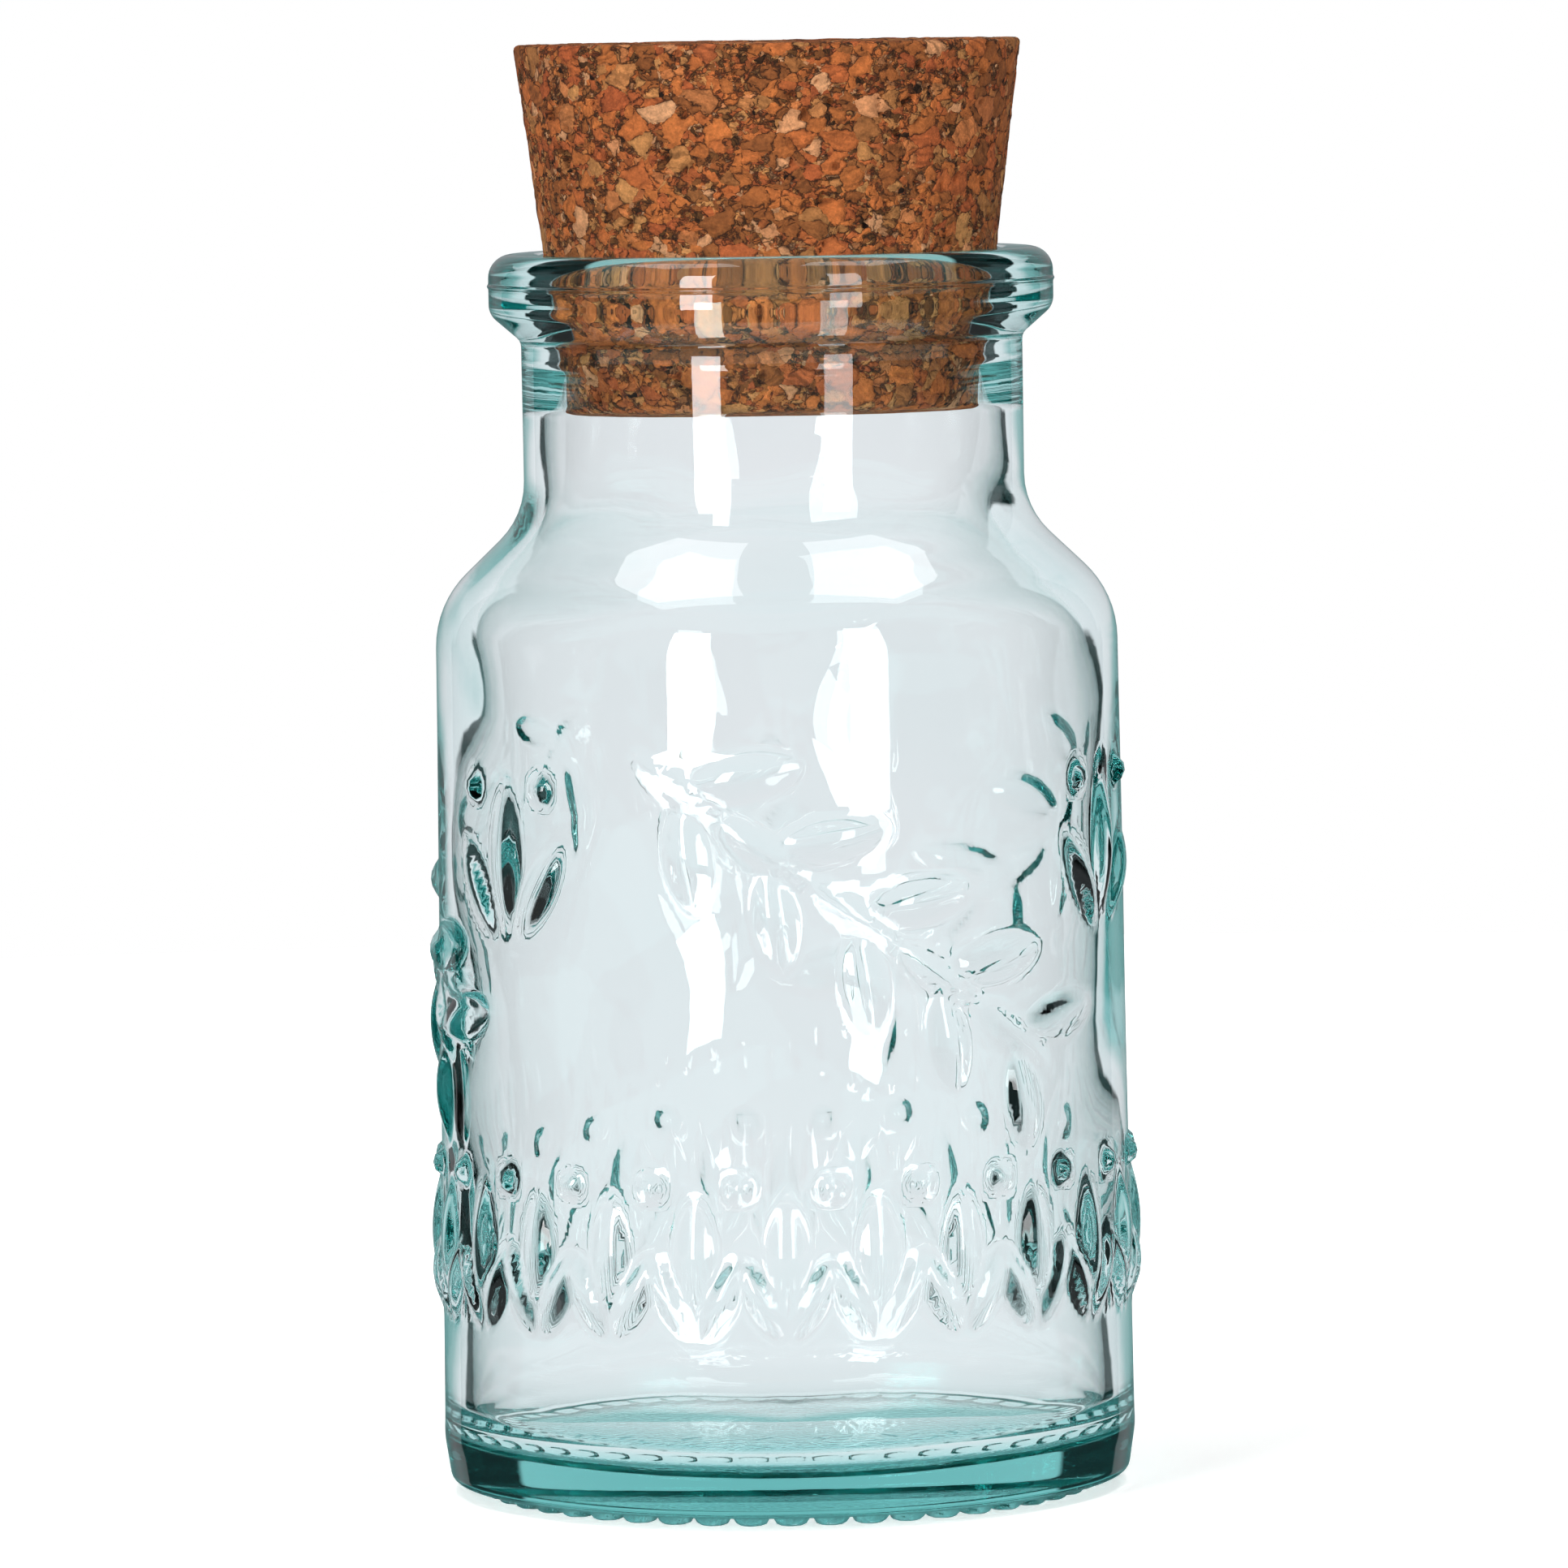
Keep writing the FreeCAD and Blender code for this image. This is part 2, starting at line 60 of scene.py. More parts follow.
MM = 0.001
FULL_TURN = 2 * math.pi
WHITE = (1, 1, 1)
GLASS_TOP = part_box("glass_jar")[1].z
CORK_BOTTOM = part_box("cork_stopper")[0].z
CORK_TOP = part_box("cork_stopper")[1].z
# Light runs along thick glass by many inner reflections, which give its edges their deep colour
LIGHT_BOUNCES = 40
# Ray depths are whole numbers, so a depth above this has one bounce or more
ONE_BOUNCE = 0.5


def linear(hex_colour):
    """Linear RGB of an sRGB colour written as six hex digits."""
    shares = np.array([int(hex_colour[i:i + 2], 16) for i in (1, 3, 5)]) / 255
    return tuple(np.where(shares <= 0.04045, shares / 12.92, ((shares + 0.055) / 1.055) ** 2.4))


def named(group):
    """Name each property of a group after its attribute, in words."""
    for attribute, entry in group.__annotations__.items():
        entry.keywords["name"] = attribute.replace("_", " ").capitalize()
    return group


def property_maker(kind, convert, **options):
    """A function that makes properties of one kind, from a default that it converts and a description."""
    def make(default, description):
        return kind(default=convert(default), description=description, **options)
    return make


def metres(millimetres):
    """A length in the unit of the scene."""
    return millimetres * MM


# Lengths are written in millimetres, angles in degrees and colours in hex digits
count = property_maker(bpy.props.IntProperty, int)
number = property_maker(bpy.props.FloatProperty, float)
length = property_maker(bpy.props.FloatProperty, metres, unit="LENGTH", precision=5)
angle = property_maker(bpy.props.FloatProperty, math.radians, subtype="ANGLE")
colour = property_maker(bpy.props.FloatVectorProperty, linear, subtype="COLOR", min=0, max=1)


@named
class JarShape(bpy.types.PropertyGroup):
    """Outside and inside of the glass"""

    body_base_radius: length(34.0, "Outside of the body at the heel")
    body_top_radius: length(33.4, "Outside of the body at the shoulder")
    body_wall: length(2.8, "Glass in the body wall")
    rim_height: length(GLASS_TOP / MM, "Top of the glass above the ground")
    shoulder_height: length(87.3, "Where body and shoulder lines cross")
    shoulder_round: length(10.0, "Outer radius from body to shoulder")
    shoulder_wall_drop: length(1.2, "How much lower these corners lie inside")
    neck_height: length(95.8, "Where shoulder and neck lines cross")
    neck_round: length(8.0, "Hollow radius from shoulder to neck")
    neck_radius: length(24.5, "Outside of the neck")
    neck_wall: length(2.2, "Glass in the neck below the bore")
    rim_radius: length(27.6, "Outside of the rim")
    rim_under_height: length(112.9, "Where the slope leaves the neck")
    rim_side_height: length(115.6, "Where the slope meets the rim's side")
    rim_under_round: length(1.2, "Hollow radius under the rim")
    rim_side_round: length(2.0, "Lower radius of the rim")
    rim_top_round: length(2.3, "Upper outer radius of the rim")
    lip_round: length(0.9, "Radius at the mouth's edge")
    mouth_radius: length(22.36, "Bore at the top of the rim")
    bore_depth: length(10.7, "Tapered bore, from the rim down")
    bore_step: length(4.5, "Height of the slope out to the neck's inside")
    bore_round: length(2.5, "Radius at both ends of that slope")
    heel_height: length(5.5, "Where the body begins to draw in")
    heel_blend: length(10.0, "Radius at that height")
    heel_taper: length(0.7, "How far the heel draws in")
    heel_round: length(1.0, "Radius from the heel to the underside")
    foot_height: length(1.1, "Underside above the ground")
    foot_inner_radius: length(26.5, "Where the underside's hollow begins")
    foot_round: length(4.0, "Radius at that edge")
    push_up_height: length(1.5, "Middle of the underside above the ground")
    floor_edge_height: length(5.4, "Inside floor at the wall")
    floor_middle_height: length(6.2, "Inside floor at the middle")
    floor_round: length(4.0, "Inside radius from the floor to the wall")
    bead_count: count(48, "How many resting beads")
    bead_ring_radius: length(29.0, "Circle through the beads")
    bead_radius: length(1.85, "Widest radius of a bead")
    bead_round: length(0.95, "Radius of a bead's lower edge")
    seam_height: length(118.3, "Ring where the mould parts on the rim")
    seam_rise: length(0.14, "How far the mould's parting line stands out")
    seam_half_width: length(0.18, "Half of the parting line's width")
    outer_ripple: length(0.02, "Unevenness of the outside")
    inner_ripple: length(0.24, "Unevenness of the inside")


@named
class JarOrnament(bpy.types.PropertyGroup):
    """Leaves and berries that stand out of the body"""

    rise: length(1.05, "How far the ornament stands out")
    berry_radius: length(1.5, "Round berry")
    frieze_count: count(24, "How many sprouts in the lower band")
    frieze_height: length(25.7, "Middle of the lower band")
    frieze_leaf_length: length(17.5, "Tip to tip")
    frieze_leaf_half_width: length(2.3, "At the widest")
    frieze_blade_length: length(10.5, "Side blade, tip to tip")
    frieze_blade_half_width: length(1.6, "At the widest")
    frieze_blade_drop: length(3.4, "Below the band's middle")
    frieze_blade_turn: angle(4.2, "Azimuth from its leaf")
    frieze_blade_lean: angle(26.0, "Lean from upright")
    frieze_berry_rise: length(7.2, "Berry above the band's middle")
    posy_count: count(3, "How many posies, and as many sprigs")
    posy_azimuth: angle(-52.0, "First posy")
    posy_height: length(64.0, "Middle of a posy")
    posy_leaf_length: length(20.5, "Middle leaf, tip to tip")
    posy_leaf_half_width: length(2.7, "At the widest")
    posy_blade_length: length(13.5, "Side leaf, tip to tip")
    posy_blade_half_width: length(2.1, "At the widest")
    posy_blade_drop: length(3.2, "Below the posy's middle")
    posy_blade_turn: angle(8.2, "Azimuth from the middle leaf")
    posy_blade_lean: angle(32.0, "Lean from upright")
    posy_berry_rise: length(6.6, "Berry above the posy's middle")
    posy_berry_turn: angle(9.0, "Azimuth from the middle leaf")
    sprig_joints: count(5, "How many joints in a sprig's stem")
    sprig_azimuth: angle(-17.0, "First joint of a stem")
    sprig_height: length(71.0, "First joint of a stem")
    sprig_turn: angle(14.5, "Azimuth from joint to joint")
    sprig_fall: length(6.1, "Height lost from joint to joint")
    stem_length: length(14.5, "One joint of the stem, tip to tip")
    stem_half_width: length(1.8, "At the widest")
    stem_rise: length(0.75, "How far the stem stands out")
    sprig_leaf_length: length(14.5, "Tip to tip")
    sprig_leaf_half_width: length(2.5, "At the widest")
    sprig_leaf_reach: length(6.4, "From the stem to a leaf's middle")
    sprig_leaf_spread: angle(46.0, "Between the stem and a leaf")


@named
class StopperShape(bpy.types.PropertyGroup):
    """Tapered cork stopper"""

    top_radius: length(24.85, "Upper end")
    bottom_radius: length(20.35, "Lower end")
    top_round: length(0.5, "Worn upper edge")
    bottom_round: length(1.5, "Rounded lower edge")
    granule_spacing: length(2.2, "Between the middles of proud granules")
    granule_smallest: length(1.0, "Least size of a proud granule")
    granule_largest: length(4.4, "Greatest size of a proud granule")
    granule_share: number(0.8, "Share of places that hold a proud granule")
    unevenness: length(0.10, "How far granules lie below the cut surface")
    edge_width: length(0.12, "Of the worn edge of a granule")
    gap_depth: length(0.12, "How far the small bits lie below the granules")
    pit_depth: length(0.7, "Depth where bits have broken out")


@named
class JarFinish(bpy.types.PropertyGroup):
    """Colours of the glass, the cork and the studio"""

    glass_tint: colour("#63dad8", "What the thick glass lets through")
    cork_dark: colour("#65401f", "Old bark in the agglomerate")
    cork_brown: colour("#8c5128", "Common granules")
    cork_orange: colour("#c16e36", "Common granules")
    cork_red: colour("#a9552d", "Common granules")
    cork_tan: colour("#c1864e", "Pale granules")
    cork_pink: colour("#d0986c", "Palest granules")
    cork_gap_shade: colour("#1e0f08", "Shade between granules")
    floor: colour("#f6f6f5", "Pale studio floor")
    # Painted light: the glow of the paper under the foot, as the glass shows it
    under_foot: colour("#ace0e4", "Paper lit through the middle of the foot")
    foot_edge: colour("#dff2f5", "Paper lit through the edge of the foot")
    backdrop: colour("#fffbff", "White behind the jar, as the glass shows it")
    guided: colour("#a6cfcf", "The same where the glass mirrors it round its edges")
    dark_room: colour("#1a2222", "Beside the backdrop, as the glass shows it")


@named
class StudioSettings(bpy.types.PropertyGroup):
    """Camera and lights"""

    camera_distance: length(1050.0, "From the jar's axis, level")
    camera_height: length(148.0, "Above the ground")
    camera_pitch: angle(4.30, "Downwards")
    camera_yaw: angle(0.026, "Towards +X")
    camera_roll: angle(0.97, "The picture's top leans left by this")
    camera_lens: number(246.5, "Focal length on a 36 mm sensor, in millimetres")
    softbox_azimuth: angle(30.0, "Each side of the camera")
    softbox_distance: length(950.0, "From the jar's axis")
    softbox_width: length(220.0, "Across")
    softbox_height: length(620.0, "Upright")
    softbox_radiance: number(12.9, "Brightness of the left one, where 1 is white")
    right_share: number(0.52, "Brightness of the right softbox against the left")
    overhead_height: length(900.0, "Of the lamps over the jar")
    overhead_offset: length(285.0, "Of each lamp to the side")
    overhead_width: length(350.0, "Across")
    overhead_length: length(450.0, "From front to back")
    overhead_radiance: number(3.0, "Brightness, where 1 is white")
    fill: number(0.22, "Light of the room from all sides, where 1 is white")
    backdrop_half_width: angle(36.8, "White behind the jar, to each side")
    backdrop_upper_half_width: angle(40.4, "The same above the horizon")
    backdrop_top: angle(32.0, "Upper edge of that white, above the horizon")
    backdrop_foot: angle(-14.0, "Lower edge of that white, below the horizon")
    front_start: angle(80.0, "From the backdrop's middle to the room at the front")
    front_level: number(0.12, "Room beside the softboxes, as the glass mirrors it")
    floor_radius: length(600.0, "Of the round studio floor")


def add_node(tree, kind, *values, stops=(), **options):
    """Add a node with its values, links, settings and colour stops.

    The kind of a node that calculates is followed by its operation. Values fill the sockets in use, from the
    first on. A name with a capital is a socket, with _ for a space, and any other name is a setting. A node
    given as a value stands for its first output in use.
    """
    kind, *operation = kind.split()
    node = tree.nodes.new("ShaderNode" + kind)
    if operation:
        node.operation = operation[0]
    for name, value in options.items():
        if name.islower():
            setattr(node, name, value)
    for i, (position, tint) in enumerate(stops):
        ramp = node.color_ramp.elements
        stop = ramp[i] if i < len(ramp) else ramp.new(position)
        stop.position = position
        stop.color = (*tint, 1)
    filled = list(zip([socket for socket in node.inputs if socket.enabled], values))
    names = [name for name in options if not name.islower()]
    filled += [(node.inputs[name.replace("_", " ")], options[name]) for name in names]
    for socket, value in filled:
        if isinstance(value, bpy.types.Node):
            value = next(output for output in value.outputs if output.enabled)
        if isinstance(value, bpy.types.NodeSocket):
            tree.links.new(value, socket)
        else:
            socket.default_value = (*value, 1) if socket.type == "RGBA" else value
    return node


def guided_light(add, turn, studio, finish):
    """What light sees that the glass has mirrored round its edge, by its turn from straight behind.

    Close behind the jar lies the jar's own tint, further out the white backdrop, then the dark room, and at
    the front the tint again.
    """
    edge = studio.backdrop_half_width / math.pi
    room = studio.front_start / math.pi
    tint_end, white_start, soft, front_soft = 0.45, 0.75, 0.03, 0.05
    share = add("Math DIVIDE", turn, math.pi)
    stops = [
        (0.0, finish.guided), (tint_end * edge, finish.guided), (white_start * edge, finish.backdrop),
        ((1 - soft) * edge, finish.backdrop), ((1 + soft) * edge, finish.dark_room),
        (room, finish.dark_room), ((1 + front_soft) * room, finish.guided),
    ]
    return add("ValToRGB", share, stops=stops)


def new_nodes(owners, name):
    """An empty node material or world, and a function that adds nodes to it."""
    owner = owners.new(name)
    owner.use_nodes = True
    owner.node_tree.nodes.clear()
    return owner, functools.partial(add_node, owner.node_tree)


def rounded_outline(corners):
    """Points along straight runs and tangent arcs through corners of (radius, height, round, step).

    A round replaces its corner by the arc that touches both runs, which leaves each run at the round times
    the tangent of half the turn. Step is the spacing on the arc and on the run that follows it.
    """
    places = np.array([corner[:2] for corner in corners], float)
    stretches = [places[:1]]
    for i in range(1, len(corners)):
        _, _, radius, step = corners[i]
        arc = places[i:i + 1]
        if radius:
            arrive, leave = places[i] - places[i - 1], places[i + 1] - places[i]
            arrive, leave = arrive / np.linalg.norm(arrive), leave / np.linalg.norm(leave)
            turn = math.atan2(arrive[0] * leave[1] - arrive[1] * leave[0], arrive @ leave)
            swept = np.linspace(0, abs(turn), math.ceil(abs(turn) * radius / step) + 1)[:, None]
            inward = math.copysign(1, turn) * np.array([-arrive[1], arrive[0]])
            first = places[i] - arrive * radius * math.tan(abs(turn) / 2)
            arc = first + radius * (np.sin(swept) * arrive + (1 - np.cos(swept)) * inward)
        begin = stretches[-1][-1]
        steps = math.ceil(np.linalg.norm(arc[0] - begin) / corners[i - 1][3])
        run = begin + (arc[0] - begin) * np.linspace(0, 1, steps + 1)[1:, None]
        stretches += [run, arc[1:]] if len(arc) > 1 else [run]
    return np.concatenate(stretches)


def turned_points(radius, height, azimuth):
    """Points of a turned surface: across by the sine and cosine of the azimuth, up by the height."""
    return np.stack(
        np.broadcast_arrays(radius * np.sin(azimuth), -radius * np.cos(azimuth), height), axis=-1
    )


def ring_faces(first, rows, columns):
    """Quads of a grid that closes round the axis, as vertex numbers that start at first."""
    row, column = np.meshgrid(np.arange(rows - 1), np.arange(columns), indexing="ij")
    beside = (column + 1) % columns
    quads = [row * columns + column, row * columns + beside]
    quads += [(row + 1) * columns + beside, (row + 1) * columns + column]
    return first + np.stack(quads, axis=-1).reshape(-1, 4)


def fan_faces(pole, first, columns):
    """Triangles, facing up, from a pole to the ring of vertices that starts at first."""
    around = np.arange(columns)
    beside = (around + 1) % columns
    return np.stack([first + around, first + beside, np.full(columns, pole)], axis=-1)


def put_object(name, points, faces, material, **layers):
    """A smooth mesh object from points, lists of faces with one number of corners each, and point layers."""
    mesh = bpy.data.meshes.new(name)
    corners = np.concatenate([block.ravel() for block in faces])
    sizes = np.concatenate([np.full(len(block), block.shape[1]) for block in faces])
    mesh.vertices.add(len(points))
    mesh.vertices.foreach_set("co", np.asarray(points, np.float32).ravel())
    mesh.loops.add(len(corners))
    mesh.loops.foreach_set("vertex_index", corners.astype(np.int32))
    mesh.polygons.add(len(sizes))
    mesh.polygons.foreach_set("loop_start", (np.cumsum(sizes) - sizes).astype(np.int32))
    mesh.polygons.foreach_set("use_smooth", np.ones(len(sizes), bool))
    mesh.update(calc_edges=True)
    mesh.validate()
    for layer, values in layers.items():
        holder = mesh.attributes.new(layer, "FLOAT", "POINT")
        holder.data.foreach_set("value", np.asarray(values, np.float32))
    mesh.materials.append(material)
    piece = bpy.data.objects.new(name, mesh)
    bpy.context.scene.collection.objects.link(piece)
    return piece


def wall_radius(shape, height):
    """Outside of the body at a height, on the straight line from heel to shoulder."""
    slope = (shape.body_base_radius - shape.body_top_radius) / (shape.shoulder_height - shape.foot_height)
    return shape.body_base_radius - slope * (height - shape.foot_height)


def sprig_leaves(shape, ornament):
    """Stem joints and leaves of one hanging sprig, as (azimuth, height, lean, length, half width, rise)."""
    wall = wall_radius(shape, ornament.sprig_height)
    fall = math.atan2(ornament.sprig_fall, wall * ornament.sprig_turn)
    quarter = FULL_TURN / 4
    stem = (fall - quarter, ornament.stem_length, ornament.stem_half_width, ornament.stem_rise)
    leaf = (ornament.sprig_leaf_length, ornament.sprig_leaf_half_width, ornament.rise)
    leaves = []
    for joint in range(ornament.sprig_joints):
        azimuth = ornament.sprig_azimuth + ornament.sprig_turn * joint
        height = ornament.sprig_height - ornament.sprig_fall * joint
        leaves.append((azimuth, height, *stem))
        for side in (1, -1):
            bearing = fall - ornament.sprig_leaf_spread * side
            across = ornament.sprig_leaf_reach * math.cos(bearing)
            down = ornament.sprig_leaf_reach * math.sin(bearing)
            leaves.append((azimuth + across / wall, height - down, bearing + quarter * side, *leaf))
    return leaves


def sprout_leaves(ornament, kind, azimuth):
    """An upright leaf of the frieze or of a posy, with a leaning blade at each side, as in sprig_leaves."""
    def size(name):
        return getattr(ornament, f"{kind}_{name}")

    leaves = [(azimuth, size("height"), 0, size("leaf_length"), size("leaf_half_width"), ornament.rise)]
    for side in (1, -1):
        leaves.append((
            azimuth + size("blade_turn") * side, size("height") - size("blade_drop"),
            size("blade_lean") * side, size("blade_length"), size("blade_half_width"), ornament.rise,
        ))
    return leaves


def ornament_layout(shape, ornament):
    """All leaves round the jar, and all berries, which are leaves as wide as they are long."""
    ball = (0, 2 * ornament.berry_radius, ornament.berry_radius, ornament.rise)
    leaves, berries = [], []
    for i in range(ornament.frieze_count):
        azimuth = FULL_TURN * i / ornament.frieze_count
        leaves += sprout_leaves(ornament, "frieze", azimuth)
        half_step = FULL_TURN / ornament.frieze_count / 2
        berries.append((azimuth + half_step, ornament.frieze_height + ornament.frieze_berry_rise, *ball))
    for i in range(ornament.posy_count):
        turn = FULL_TURN * i / ornament.posy_count
        azimuth = ornament.posy_azimuth + turn
        leaves += sprout_leaves(ornament, "posy", azimuth)
        for side in (1, -1):
            berry_height = ornament.posy_height + ornament.posy_berry_rise
            berries.append((azimuth + ornament.posy_berry_turn * side, berry_height, *ball))
        leaves += [(leaf[0] + turn, *leaf[1:]) for leaf in sprig_leaves(shape, ornament)]
    return leaves + berries


def relief_height(shape, ornament, azimuth, height):
    """How far the ornament stands out of the wall at each azimuth and height.

    A leaf is a spindle, an arc turned about its chord: at s along the chord it is as thick as the arc is
    high there, and at t across it stands the root of thickness squared less t squared above the chord,
    which lies rise less half width outside the wall. A spindle as wide as long is a ball. All are joined to
    the wall and to each other by the logarithm of the sum of their exponentials, which rounds the corners
    between them.
    """
    sharpness = 7 / MM
    total = np.ones(np.broadcast(azimuth, height).shape)
    for middle, level, lean, tip_to_tip, half_width, rise in ornament_layout(shape, ornament):
        wall = wall_radius(shape, level)
        across = wall * np.sin(azimuth - middle)
        bulge = wall * (1 - np.cos(azimuth - middle))
        up = height - level
        s = across * math.sin(lean) + up * math.cos(lean)
        t = across * math.cos(lean) - up * math.sin(lean)
        half = tip_to_tip / 2
        arc = (half**2 + half_width**2) / (2 * half_width)
        thick = np.sqrt(np.maximum(arc**2 - s**2, 0)) - (arc - half_width)
        inside = (np.abs(s) < half) & (np.abs(t) < thick) & (np.cos(azimuth - middle) > 0)
        stand = np.sqrt(np.maximum(thick**2 - t**2, 0)) + rise - half_width + bulge
        total += np.where(inside, np.exp(sharpness * np.minimum(stand, rise)), 0)
    return np.log(total) / sharpness


def bead_drop(shape, radius, azimuth):
    """How far the resting beads reach below the underside: a flat button with a rounded edge.

    Each bead is as deep as the foot is high out to the flat's radius, then falls away by a quarter circle.
    """
    sharpness = 9 / MM
    pitch = FULL_TURN / shape.bead_count
    nearest = azimuth - pitch * np.round(azimuth / pitch)
    away = np.hypot(radius * np.cos(nearest) - shape.bead_ring_radius, radius * np.sin(nearest))
    flat = shape.bead_radius - shape.bead_round
    edge = np.clip(away - flat, 0, shape.bead_round)
    drop = shape.foot_height - shape.bead_round + np.sqrt(shape.bead_round**2 - edge**2)
    steepness = 3
    drop -= steepness * np.maximum(away - shape.bead_radius, 0)
    return np.log(1 + np.exp(sharpness * drop)) / sharpness


def ripples(azimuth, height, shortest, seed):
    """Smooth unevenness of about one: a sum of waves of whole numbers round the jar and random phases."""
    draw = np.random.default_rng(seed)
    total = np.zeros(np.broadcast(azimuth, height).shape)
    waves, most_around = 14, 9
    for _ in range(waves):
        around = draw.integers(0, most_around)
        upward = draw.uniform(-1, 1) * FULL_TURN / shortest
        total += np.cos(around * azimuth + upward * height + draw.uniform(0, FULL_TURN))
    return total / math.sqrt(waves)


def smooth_step(value, low, high):
    """Zero below low, one above high, and a smooth rise between."""
    share = np.clip((value - low) / (high - low), 0, 1)
    return share * share * (3 - 2 * share)


def outer_outline(shape, ornament):
    """Outside of the glass from the middle of the underside to the lip, where the bore's round begins."""
    # Rows lie close where the ornament is, a little past its leaves
    past_half = 0.6
    low = ornament.frieze_height - ornament.frieze_leaf_length * past_half
    high = ornament.posy_height + ornament.posy_leaf_length * past_half
    seam_rows = 3 * shape.seam_half_width
    return rounded_outline([
        (0, shape.push_up_height, 0, 3.0 * MM),
        (shape.foot_inner_radius, shape.foot_height, shape.foot_round, 0.4 * MM),
        (shape.body_base_radius - shape.heel_taper, shape.foot_height, shape.heel_round, 0.3 * MM),
        (wall_radius(shape, shape.heel_height), shape.heel_height, shape.heel_blend, 0.5 * MM),
        (wall_radius(shape, low / 2), low / 2, 0, 1.3 * MM),
        (wall_radius(shape, low), low, 0, 0.74 * MM),
        (wall_radius(shape, high), high, 0, 1.2 * MM),
        (shape.body_top_radius, shape.shoulder_height, shape.shoulder_round, 1.1 * MM),
        (shape.neck_radius, shape.neck_height, shape.neck_round, 1.1 * MM),
        (shape.neck_radius, shape.rim_under_height, shape.rim_under_round, 0.4 * MM),
        (shape.rim_radius, shape.rim_side_height, shape.rim_side_round, 0.3 * MM),
        (shape.rim_radius, shape.seam_height - seam_rows, 0, 0.09 * MM),
        (shape.rim_radius, shape.seam_height + seam_rows, 0, 0.4 * MM),
        (shape.rim_radius, shape.rim_height, shape.rim_top_round, 0.4 * MM),
        (shape.mouth_radius + shape.lip_round, shape.rim_height, 0, 0.4 * MM),
    ])


def inner_outline(shape, taper):
    """Inside of the glass from the lip down through the bore to the middle of the floor."""
    base = shape.body_base_radius - shape.body_wall
    top = shape.body_top_radius - shape.body_wall
    neck = shape.neck_radius - shape.neck_wall
    bore_foot = shape.rim_height - shape.bore_depth
    half_bore = shape.bore_depth / 2
    corner_height = shape.shoulder_height - shape.shoulder_wall_drop
    edge, middle = shape.floor_edge_height, shape.floor_middle_height
    # Shares of the wall and the floor where the steps change, which are long on their even parts
    low, high, floor = 0.1, 0.88, 0.8
    return rounded_outline([
        (shape.mouth_radius + shape.lip_round, shape.rim_height, 0, 0.4 * MM),
        (shape.mouth_radius, shape.rim_height, shape.lip_round, 0.4 * MM),
        (shape.mouth_radius - taper * half_bore, shape.rim_height - half_bore, 0, 0.9 * MM),
        (shape.mouth_radius - taper * shape.bore_depth, bore_foot, shape.bore_round, 0.4 * MM),
        (neck, bore_foot - shape.bore_step, shape.bore_round, 0.6 * MM),
        (neck, shape.neck_height - shape.shoulder_wall_drop, shape.neck_round + shape.neck_wall, 1.1 * MM),
        (top, corner_height, shape.shoulder_round - shape.body_wall, 0.9 * MM),
        (base + (top - base) * high, edge + (corner_height - edge) * high, 0, 2.8 * MM),
        (base + (top - base) * low, edge + (shape.shoulder_height - edge) * low, 0, 0.9 * MM),
        (base, edge, shape.floor_round, 0.6 * MM),
        (base * floor, edge + (middle - edge) * (1 - floor), 0, 3.0 * MM),
        (0, middle, 0, 2.0 * MM),
    ])[1:]


